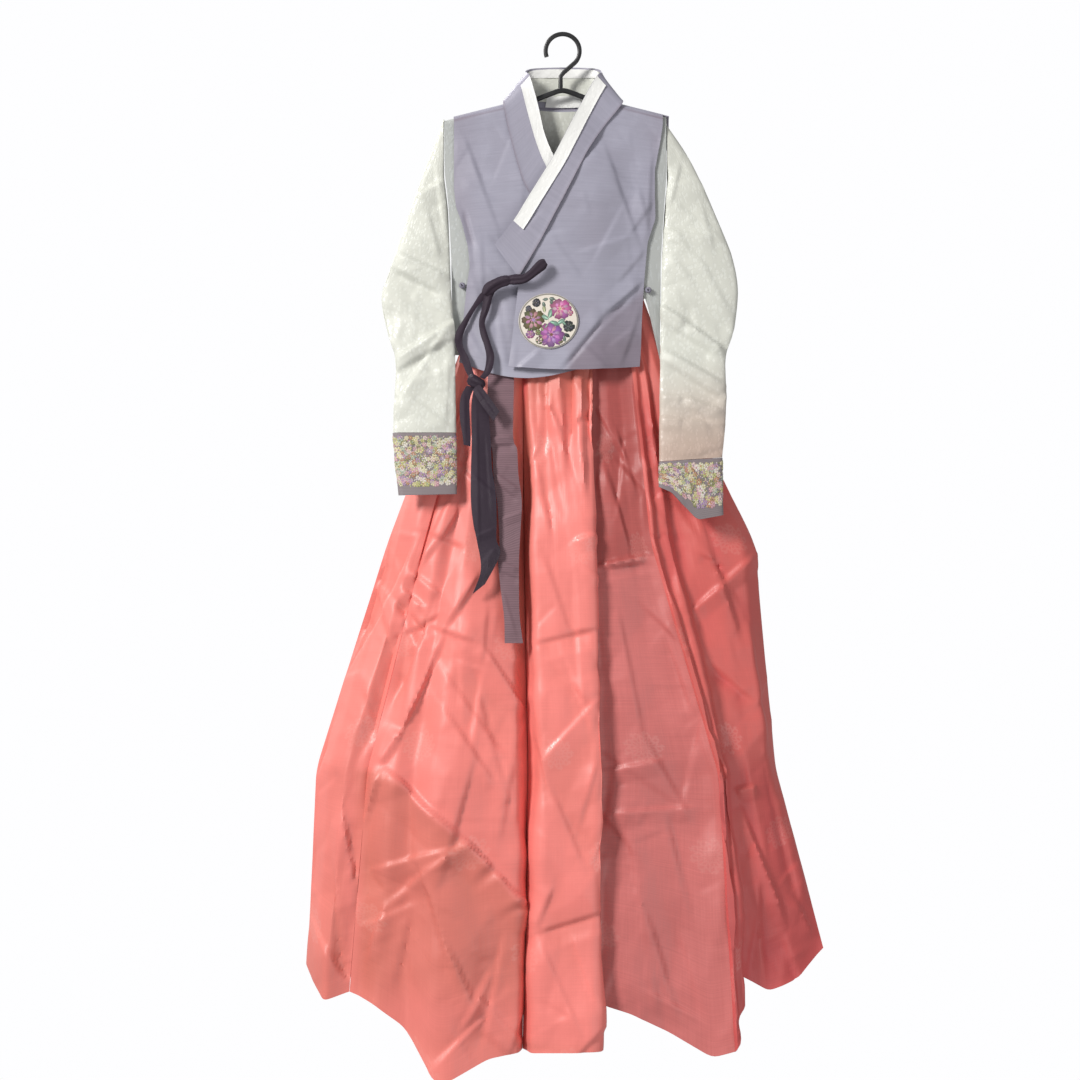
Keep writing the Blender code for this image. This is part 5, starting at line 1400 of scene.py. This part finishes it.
# flat ribbons, a row at a time: x and drop of each edge, then y
ribbons = {
    "tie_strand_outer": [(-114, 384, -106, 391, -31), (-123, 389, -112, 395, -27),
                         (-133, 404, -127, 408, -26), (-147, 426, -140, 430, -26),
                         (-160, 448, -149, 452, -27), (-160, 466, -149, 468, -29),
                         (-152, 487, -141, 484, -32), (-145, 505, -135, 502, -37),
                         (-139, 516, -131, 514, -42)],
    "tie_strand_inner": [(-114, 378, -98, 380, -33), (-118, 396, -105, 396, -31),
                         (-121, 412, -109, 412, -31), (-125, 432, -116, 432, -32),
                         (-123, 450, -113, 448, -33), (-117, 468, -107, 466, -35),
                         (-114, 485, -102, 484, -38), (-117, 505, -106, 506, -43),
                         (-124, 515, -116, 518, -46)],
    "tie_tail_left": [(-143, 528, -131, 530, -48), (-152, 546, -138, 548, -49),
                      (-153, 575, -138, 575, -52), (-149, 600, -137, 600, -55),
                      (-147, 616, -137, 618, -57)],
    "tie_tail_square": [(-134, 534, -124, 526, -55), (-124, 552, -112, 541, -59),
                        (-103, 581, -94, 567, -62)],
    "tie_tail_long": [(-132, 530, -122, 528, -49), (-136, 560, -112, 560, -50),
                      (-135, 607, -107, 607, -57), (-136, 650, -105, 650, -62),
                      (-136, 700, -99, 690, -68), (-132, 735, -98, 730, -71),
                      (-127, 758, -98, 757, -73), (-121, 800, -93, 779, -75),
                      (-133, 836, -115, 822, -77)],
    "wide_tail": [(-111, 486, -73, 486, -22.2), (-112, 504, -73, 504, -23.0),
                  (-112, 514, -73, 514, -24.4), (-112, 530, -73, 530, -31),
                  (-112, 604, -74, 604, -46), (-105, 622, -68, 622, -50),
                  (-103, 660, -66, 660, -54), (-97, 705, -61, 700, -58),
                  (-94, 760, -63, 745, -63), (-96, 787, -65, 787, -66),
                  (-92, 830, -65, 830, -70), (-87, 870, -64, 870, -73),
                  (-86, 909, -59, 909, -76)],
}
ribbonCreases = {
    "tie_strand_outer": [(-140, 420, -156, 460, 5, 1.2), (-156, 456, -140, 500, 5, -1.0)],
    "tie_strand_inner": [(-104, 384, -120, 430, 4, 1.6), (-112, 384, -118, 420, 3, -1.2),
                         (-118, 440, -106, 480, 4, 1.4), (-108, 482, -116, 510, 4, -1.2)],
    "tie_tail_left": [(-146, 540, -144, 610, 4, 1.2)],
    "tie_tail_square": [(-128, 534, -102, 572, 4, 1.2), (-122, 548, -110, 556, 3, -0.9)],
    "tie_tail_long": [(-128, 560, -124, 760, 5, 1.5), (-116, 600, -108, 720, 4, -1.2),
                      (-134, 660, -102, 690, 7, 1.8), (-130, 752, -100, 740, 5, 1.6),
                      (-118, 790, -100, 770, 6, 1.6), (-120, 820, -108, 782, 5, 1.2)],
    "wide_tail": [(-101, 659, -64, 685, 8, 3.4), (-102, 672, -66, 700, 7, -2.4),
                  (-93, 727, -58, 715, 6, 2.6), (-112, 607, -72, 603, 6, 3.2),
                  (-108, 618, -70, 616, 6, -3.0), (-96, 787, -65, 802, 6, 2.6),
                  (-92, 806, -64, 816, 6, -1.8), (-108, 540, -80, 600, 9, 1.4),
                  (-90, 830, -70, 900, 8, 1.4), (-100, 640, -80, 650, 7, 1.2)],
}


def ribbonCloth(name, mauve):
    colour = ties["mauve"] if mauve else ties["plum"]
    material, tree, shader = newMaterial(name, 0.50, 0.02, (0.9, 0.8, 0.95))
    shader.inputs["Specular IOR Level"].default_value = 0.28
    pitch = 0.0034 if mauve else 0.0016
    ribs = threads(tree, flatCloth(tree), pitch, "Y", 1.2)
    uneven = cloudy(tree, flatCloth(tree, (16.0, 320.0, 1.0)), 1.0, 2.0)
    patchy = cloudy(tree, flatCloth(tree), 26.0, 3.0)
    light = tuple(value * (1.55 if mauve else 1.5) for value in colour)
    dark = tuple(value * 0.66 for value in colour)
    share = calc(tree, "ADD", calc(tree, "MULTIPLY", ribs, 0.30),
                 calc(tree, "MULTIPLY", uneven, 0.45))
    share = calc(tree, "ADD", share, calc(tree, "MULTIPLY", patchy, 0.25))
    tree.links.new(colourMix(tree, share, dark, light), shader.inputs["Base Color"])
    tree.links.new(between(tree, uneven, 0.3, 0.7, 0.52, 0.66), shader.inputs["Roughness"])
    first = bumped(tree, shader, patchy, 0.0012, 0.5)
    bumped(tree, shader, calc(tree, "ADD", ribs, uneven), 0.0003, 0.7, first)
    return material


def flatRibbon(node, material, slot):
    rows = []
    for leftX, leftDrop, rightX, rightDrop, y in ribbons[node]:
        line = [(mix(leftX, rightX, share), y - 0.6 * math.sin(math.pi * share),
                 mix(leftDrop, rightDrop, share)) for share in np.linspace(0.0, 1.0, 9)]
        rows.append(line)
    grid = refined(smoothPlaces(rows), ties["step"], 3.0, 1.6)
    heights = creases(grid[..., 0], grid[..., 2], ribbonCreases[node])
    piece = addCloth(node + "Cloth", pushed(grid, heights), ties["wall"], material)
    settle(piece, slot, node)


def smoothPlaces(rows):
    rows = np.array(rows, float)
    return smoothRows(rows.reshape(len(rows), -1), 6).reshape(-1, *rows.shape[1:])


def gathered(name, path, folds, seed, material, sides=40):
    # cloth drawn together round a path: x, y, drop, half its width and half its depth
    draw = random.Random(seed)
    rows = smoothRows(np.array(path, float), 10)
    centre = rows[:, :3]
    along = np.gradient(centre, axis=0)
    along /= np.linalg.norm(along, axis=1, keepdims=True)
    front = np.tile(np.array([0.0, -1.0, 0.0]), (len(rows), 1))
    side = np.cross(along, front)
    side /= np.linalg.norm(side, axis=1, keepdims=True)
    angle = 2.0 * math.pi * np.arange(sides)[None, :] / sides
    twist = np.linspace(0.0, draw.uniform(1.5, 3.0), len(rows))[:, None]
    pleats = 1.0 + 0.13 * np.cos(folds * angle + twist) + 0.07 * np.cos(2.0 * angle - 2.0 * twist)
    pleats *= 1.0 + 0.06 * np.sin(np.linspace(0.0, 9.0, len(rows)))[:, None]
    wide = rows[:, 3:4] * pleats * np.cos(angle)
    deep = rows[:, 4:5] * pleats * np.sin(angle)
    grid = centre[:, None, :] + side[:, None, :] * wide[..., None] + front[:, None, :] * deep[..., None]
    return closedTube(name, grid, material)


def closedTube(name, grid, material):
    # a tube of rings closed at both ends
    rings, sides = grid.shape[:2]
    points = grid.reshape(-1, 3) * 0.001
    points[:, 2] *= -1.0
    faces = [(ring * sides + side, ring * sides + (side + 1) % sides,
              (ring + 1) * sides + (side + 1) % sides, (ring + 1) * sides + side)
             for ring in range(rings - 1) for side in range(sides)]
    faces.append(tuple(range(sides)))
    faces.append(tuple((rings - 1) * sides + side for side in range(sides)))
    mesh = bpy.data.meshes.new(name)
    mesh.from_pydata(points.tolist(), [], faces)
    uvs = mesh.uv_layers.new(name="flat")
    for loop in mesh.loops:
        ring, side = divmod(loop.vertex_index, sides)
        uvs.data[loop.index].uv = (side * 0.0008, -ring * 0.0012)
    mesh.materials.append(material)
    piece = bpy.data.objects.new(name, mesh)
    bpy.context.collection.objects.link(piece)
    deselectAll()
    bpy.context.view_layer.objects.active = piece
    piece.select_set(True)
    bpy.ops.object.mode_set(mode="EDIT")
    bpy.ops.mesh.select_all(action="SELECT")
    bpy.ops.mesh.normals_make_consistent(inside=False)
    bpy.ops.object.mode_set(mode="OBJECT")
    bpy.ops.object.shade_smooth_by_angle(angle=math.radians(60))
    return piece


plumRibbon = ribbonCloth("plumRibbon", False)
mauveRibbon = ribbonCloth("mauveRibbon", True)
for node in ribbons:
    wide = node == "wide_tail"
    flatRibbon(node, mauveRibbon if wide else plumRibbon,
               "mauve_ribbon" if wide else "plum_ribbon")
loopPath = [(-84, -40, 371, 5.5, 4.0), (-70, -43, 370, 6.5, 4.0), (-58, -45, 369, 6.0, 3.6),
            (-47, -46, 362, 6.5, 3.6), (-38, -46, 354, 7.5, 3.4), (-30, -45, 347, 7.5, 3.0),
            (-25, -44.5, 344, 4.5, 2.0)]
tieLoop = gathered("tieLoopCloth", loopPath, 5, 3, plumRibbon)
settle(tieLoop, "plum_ribbon", "tie_loop")
upperPath = [(-117, -31, 391, 4.5, 3.5), (-110, -34, 383, 7.5, 5.0), (-101, -37, 377, 8.0, 6.0),
             (-92, -39, 373, 8.5, 6.0), (-83, -40, 371, 7.5, 5.5), (-77, -41, 371, 4.5, 3.5)]
upperKnot = gathered("tieKnotUpperCloth", upperPath, 4, 7, plumRibbon)
settle(upperKnot, "plum_ribbon", "tie_knot_upper")
lowerPath = [(-141, -49, 517, 4.0, 3.0), (-136, -50, 519, 7.5, 5.5), (-129, -50.5, 523, 9.0, 6.5),
             (-122, -50, 527, 8.0, 5.5), (-117, -49, 530, 4.5, 3.0)]
lowerKnot = gathered("tieKnotLowerCloth", lowerPath, 4, 9, plumRibbon)
settle(lowerKnot, "plum_ribbon", "tie_knot_lower")
print("ties made")


# knot buttons at the vest's sides
knot = {"cord": 1.5, "ring": 3.3, "lift": 5.0}


def knotButton(name, node, x, drop):
    # three small loops of cord wound about one middle, on a short stem
    y = -(float(frontDepth(x, drop)) + knot["lift"])
    place = (x * 0.001, y * 0.001, -drop * 0.001)
    parts = []
    for turn in ((0.0, 0.0, 0.0), (62.0, 0.0, 30.0), (62.0, 0.0, 150.0)):
        bpy.ops.mesh.primitive_torus_add(
            location=place, rotation=[math.radians(90.0 * (turn[0] == 0.0) + turn[0]), 0.0,
                                      math.radians(turn[2])],
            major_radius=knot["ring"] * 0.001, minor_radius=knot["cord"] * 0.001,
            major_segments=24, minor_segments=10)
        parts.append(bpy.context.object)
    bpy.ops.mesh.primitive_cylinder_add(
        vertices=12, radius=knot["cord"] * 0.0009, depth=0.006,
        location=(place[0], place[1] + 0.003, place[2]), rotation=(math.radians(90.0), 0.0, 0.0))
    parts.append(bpy.context.object)
    deselectAll()
    for part in parts:
        part.select_set(True)
    bpy.context.view_layer.objects.active = parts[0]
    bpy.ops.object.join()
    button = bpy.context.object
    button.name = name
    button.data.name = name
    bpy.ops.object.transform_apply(location=True, rotation=True, scale=True)
    bpy.ops.object.shade_smooth_by_angle(angle=math.radians(50))
    button.data.materials.clear()
    button.data.materials.append(cordSilk)
    settle(button, "lavender_silk", node)


def cordMaterial():
    material, tree, shader = newMaterial("cordSilk", 0.5, 0.25)
    source = tree.nodes.new("ShaderNodeTexCoord")
    plies = tree.nodes.new("ShaderNodeTexWave")
    plies.bands_direction = "DIAGONAL"
    tree.links.new(source.outputs["Object"], plies.inputs["Vector"])
    plies.inputs["Scale"].default_value = 320.0
    tree.links.new(colourMix(tree, plies.outputs["Fac"], (0.15, 0.135, 0.175), (0.30, 0.29, 0.37)),
                   shader.inputs["Base Color"])
    bumped(tree, shader, plies.outputs["Fac"], 0.0003, 0.7)
    return material


cordSilk = cordMaterial()
knotButton("knotRightCord", "knot_right", -150.5, 376.0)
knotButton("knotLeftCord", "knot_left", 128.0, 383.0)
print("knot buttons made")


# skirt band, shoulder straps and hanger, mostly hidden
inner = {
    "bandTop": 330.0,
    "bandBottom": 394.5,
    "strapX": 105.0,
    "strapWidth": 26.0,
    "armBelow": 12.5,
    "armRadius": 4.0,
    "hookRadius": 25.5,
    "hookWire": 3.5,
    "stemX": -3.0,
    "apexDrop": 80.0,
    "armTip": 152.0,
}


def bandGrid():
    share = np.linspace(0.0, 1.0, 181)
    angle = math.radians(-66.0) - math.radians(406.0) * share
    cosine, sine = np.cos(angle), np.sin(angle)
    x = 124.0 * np.sign(cosine) * np.abs(cosine) ** 0.6
    depth = np.where(sine < 0, 5.5 + 3.2 * (1.0 - share), 9.0)
    y = -depth * np.sign(sine) * np.abs(sine) ** 0.6
    rows = []
    for drop in np.linspace(inner["bandTop"], inner["bandBottom"], 12):
        rows.append(np.stack([x, y, 0.0 * x + drop], axis=1))
    return np.array(rows)


def strapGrid(side):
    arc = np.linspace(0.0, math.pi, 13)
    top = inner["armRadius"] + 1.9
    ys = [-7.0, *(-np.cos(arc) * top), 7.2][::-1]
    rises = [None, *(-np.sin(arc) * top), None][::-1]
    grid = []
    for y, rise in zip(ys, rises):
        x = side * inner["strapX"] + np.linspace(-0.5, 0.5, 9) * inner["strapWidth"]
        arm = shoulderDrop(x) + inner["armBelow"]
        drop = arm + rise if rise is not None else 0.0 * x + inner["bandTop"] - 0.4
        grid.append(np.stack([x, 0.0 * x + y, drop], axis=1))
    return grid


def barRings(path, radius, sides=20):
    # a moulded bar in the plane of the hanger, with a flat ridge along its front
    path = np.array(path, float)
    along = np.gradient(path, axis=0)
    along /= np.linalg.norm(along, axis=1, keepdims=True)
    across = np.stack([along[:, 1], -along[:, 0]], axis=1)
    angle = 2.0 * math.pi * np.arange(sides) / sides
    grid = []
    for place, sideways in zip(path, across):
        swell = radius * (1.0 - 0.06 * np.cos(4.0 * angle))
        offset = swell * np.cos(angle)
        grid.append(np.stack([place[0] + sideways[0] * offset, swell * np.sin(angle),
                              place[1] + sideways[1] * offset], axis=1))
    return np.array(grid)


def plasticMaterial():
    material, tree, shader = newMaterial("hangerPlastic", 0.38)
    source = tree.nodes.new("ShaderNodeTexCoord")
    grain = cloudy(tree, source.outputs["Object"], 700.0, 3.0)
    worn = cloudy(tree, source.outputs["Object"], 30.0, 3.0)
    tree.links.new(colourMix(tree, worn, (0.010, 0.010, 0.011), (0.022, 0.022, 0.024)),
                   shader.inputs["Base Color"])
    tree.links.new(between(tree, worn, 0.3, 0.7, 0.32, 0.46), shader.inputs["Roughness"])
    bumped(tree, shader, grain, 0.0002, 0.4)
    return material


bandPiece = addCloth("skirtBandCloth", refined(bandGrid(), 3.0, 3.0, 3.0), 2.0, ivorySatin)
settle(bandPiece, "ivory_satin", "skirt_band")
for name, node, side in (("strapRightCloth", "strap_right", -1.0),
                         ("strapLeftCloth", "strap_left", 1.0)):
    strap = addCloth(name, refined(strapGrid(side), 2.5, 2.0, 2.0), 1.5, ivorySatin)
    settle(strap, "ivory_satin", node)

hangerPlastic = plasticMaterial()
armX = np.linspace(-inner["armTip"], inner["armTip"], 61)
lowDrop = upper["neckDrop"] + inner["armBelow"]
armDrop = np.where(np.abs(armX) < upper["neckX"],
                   mix(inner["apexDrop"], lowDrop, (np.abs(armX) / upper["neckX"]) ** 1.05),
                   shoulderDrop(armX) + inner["armBelow"])
armDrop = softened(armDrop, 2, 0)
arms = closedTube("hangerArms", barRings(np.stack([armX, armDrop], axis=1), inner["armRadius"]),
                  hangerPlastic)
hook = [(inner["stemX"], inner["apexDrop"] + 1.0), (inner["stemX"], inner["apexDrop"] - 12.0),
        (inner["stemX"], inner["apexDrop"] - 20.0), (2.0, inner["apexDrop"] - 26.0)]
for angle in np.radians(np.linspace(-45.0, 200.0, 41)):
    hook.append((inner["hookRadius"] * math.cos(angle), 22.0 - inner["hookRadius"] * math.sin(angle)))
hookBar = closedTube("hangerHook", barRings(hook, inner["hookWire"]), hangerPlastic)
deselectAll()
hookBar.select_set(True)
arms.select_set(True)
bpy.context.view_layer.objects.active = arms
bpy.ops.object.join()
arms.name = "hangerBar"
arms.data.name = "hangerBar"
settle(arms, "hanger_black", "hanger")
print("band, straps and hanger made")


# what each cloth piece was cut to: width, length, flat area, how it is held, on what
cuts = {
    "skirt_front_rightCloth": (0.16, 1.05, 0.088, "gathered", "skirtBandCloth"),
    "skirt_front_lowCloth": (0.36, 1.17, 0.234, "gathered", "skirtBandCloth"),
    "skirt_front_centreCloth": (0.17, 1.12, 0.161, "gathered", "skirtBandCloth"),
    "skirt_front_roseCloth": (0.25, 1.13, 0.155, "gathered", "skirtBandCloth"),
    "skirt_front_leftCloth": (0.24, 1.13, 0.153, "gathered", "skirtBandCloth"),
    "skirt_back_leftCloth": (0.22, 1.03, 0.150, "gathered", "skirtBandCloth"),
    "skirt_back_underCloth": (0.33, 1.05, 0.231, "gathered", "skirtBandCloth"),
    "skirt_back_rightCloth": (0.23, 1.03, 0.168, "gathered", "skirtBandCloth"),
    "skirt_back_overCloth": (0.35, 1.05, 0.257, "gathered", "skirtBandCloth"),
    "skirtBandCloth": (0.65, 0.065, 0.042, "hung", "strapLeftCloth"),
    "strapLeftCloth": (0.026, 0.47, 0.0121, "hung", "hangerBar"),
    "strapRightCloth": (0.026, 0.47, 0.0121, "hung", "hangerBar"),
    "vest_backCloth": (0.325, 0.405, 0.117, "hung", "hangerBar"),
    "vest_front_overCloth": (0.235, 0.41, 0.066, "hung", "hangerBar"),
    "vest_front_underCloth": (0.195, 0.42, 0.058, "hung", "hangerBar"),
    "vest_collarCloth": (0.045, 0.93, 0.0395, "hung", "vest_backCloth"),
    "jeogori_backCloth": (0.335, 0.29, 0.091, "hung", "hangerBar"),
    "jeogori_front_leftCloth": (0.15, 0.38, 0.031, "hung", "hangerBar"),
    "jeogori_front_rightCloth": (0.17, 0.36, 0.040, "hung", "hangerBar"),
    "jeogori_collarCloth": (0.036, 0.25, 0.0084, "hung", "jeogori_backCloth"),
    "dongjeong_overCloth": (0.020, 0.27, 0.0052, "hung", "vest_collarCloth"),
    "dongjeong_underCloth": (0.020, 0.16, 0.0031, "hung", "vest_collarCloth"),
    "dongjeong_backCloth": (0.0115, 0.155, 0.0017, "hung", "jeogori_collarCloth"),
    "neck_labelCloth": (0.012, 0.09, 0.0010, "hung", "jeogori_collarCloth"),
    "sleeveRightCloth": (0.21, 0.48, 0.0724, "hung", "jeogori_backCloth"),
    "sleeveLeftCloth": (0.23, 0.51, 0.0907, "hung", "jeogori_backCloth"),
    "cuffRightCloth": (0.20, 0.093, 0.0176, "hung", "sleeveRightCloth"),
    "cuffLeftCloth": (0.195, 0.085, 0.0140, "hung", "sleeveLeftCloth"),
    "medallionCloth": (0.091, 0.085, 0.0060, "laid", "vest_front_overCloth"),
    "tieLoopCloth": (0.022, 0.07, 0.0014, "gathered", "vest_front_overCloth"),
    "tie_strand_outerCloth": (0.0115, 0.155, 0.0017, "hung", "tieKnotUpperCloth"),
    "tie_strand_innerCloth": (0.0125, 0.15, 0.0018, "hung", "tieKnotUpperCloth"),
    "tie_tail_leftCloth": (0.0155, 0.09, 0.0013, "hung", "tieKnotLowerCloth"),
    "tie_tail_squareCloth": (0.015, 0.062, 0.0009, "hung", "tieKnotLowerCloth"),
    "tie_tail_longCloth": (0.034, 0.31, 0.0089, "hung", "tieKnotLowerCloth"),
    "wide_tailCloth": (0.039, 0.435, 0.0151, "hung", "vest_front_overCloth"),
}
sewnOn = {
    "cuffRightCloth": ("cuffRightClothFlowers",),
    "cuffLeftCloth": ("cuffLeftClothFlowers",),
    "medallionCloth": ("medallionFlowers",),
    "tieLoopCloth": ("tieKnotUpperCloth",),
    "tie_tail_longCloth": ("tieKnotLowerCloth",),
    "vest_front_overCloth": ("knotLeftCord",),
    "vest_front_underCloth": ("knotRightCord",),
}
for name, (width, length, area, held, support) in cuts.items():
    extras = [bpy.data.objects[other] for other in sewnOn.get(name, ())]
print("cuts declared:", len(cuts))


# lights, a white surrounding and the camera
studio = {
    "air": (0.99, 0.99, 1.0),
    "ambient": 0.37,          # how much the air lights the cloth
    "background": 1.0,        # how bright it looks behind it
    "cameraPlace": (-0.034, -3.833, -0.757),
    "lens": 85.0,
}
# name: place, target, size, power, colour
lamps = {
    "keyLight": ((-3.3, -3.1, 1.7), (0.0, 0.0, -0.9), (1.1, 1.4), 262.0, (1.0, 0.985, 0.96)),
    "fillLight": ((1.8, -2.8, -1.5), (0.0, 0.0, -1.2), (2.0, 2.0), 22.0, (1.0, 0.96, 0.95)),
    "backLight": ((-2.3, 2.2, 1.6), (0.0, 0.0, -0.75), (1.0, 1.2), 110.0, (1.0, 0.99, 0.97)),
}


def addLight(name, place, target, size, power, colour):
    bpy.ops.object.light_add(type="AREA", location=place)
    light = bpy.context.object
    light.name = name
    light.data.shape = "RECTANGLE"
    light.data.size, light.data.size_y = size
    light.data.energy = power
    light.data.color = colour
    away = np.array(place) - np.array(target)
    turn = math.atan2(away[0], -away[1])
    light.rotation_euler = (math.atan2(math.hypot(away[0], away[1]), away[2]), 0.0, turn)


def addAir():
    # lights the cloth softly, and looks white to the camera
    world = bpy.data.worlds.new("studioAir")
    bpy.context.scene.world = world
    world.use_nodes = True
    tree = world.node_tree
    backdrop = tree.nodes["Background"]
    backdrop.inputs["Color"].default_value = (*studio["air"], 1.0)
    path = tree.nodes.new("ShaderNodeLightPath")
    strength = tree.nodes.new("ShaderNodeMapRange")
    strength.inputs["To Min"].default_value = studio["ambient"]
    strength.inputs["To Max"].default_value = studio["background"]
    tree.links.new(path.outputs["Is Camera Ray"], strength.inputs["Value"])
    tree.links.new(strength.outputs["Result"], backdrop.inputs["Strength"])


for name, lamp in lamps.items():
    addLight(name, *lamp)
addAir()

bpy.ops.object.camera_add(location=studio["cameraPlace"], rotation=(math.radians(90.0), 0.0, 0.0))
camera = bpy.context.object
camera.data.lens = studio["lens"]
camera.data.sensor_width = 36.0
camera.data.clip_end = 50.0
bpy.context.scene.camera = camera
bpy.context.scene.view_settings.view_transform = "Standard"
print("studio set")

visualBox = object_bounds()
plain = [[[round(float(value), 5) for value in corner] for corner in box]
         for box in (cadBox, visualBox)]
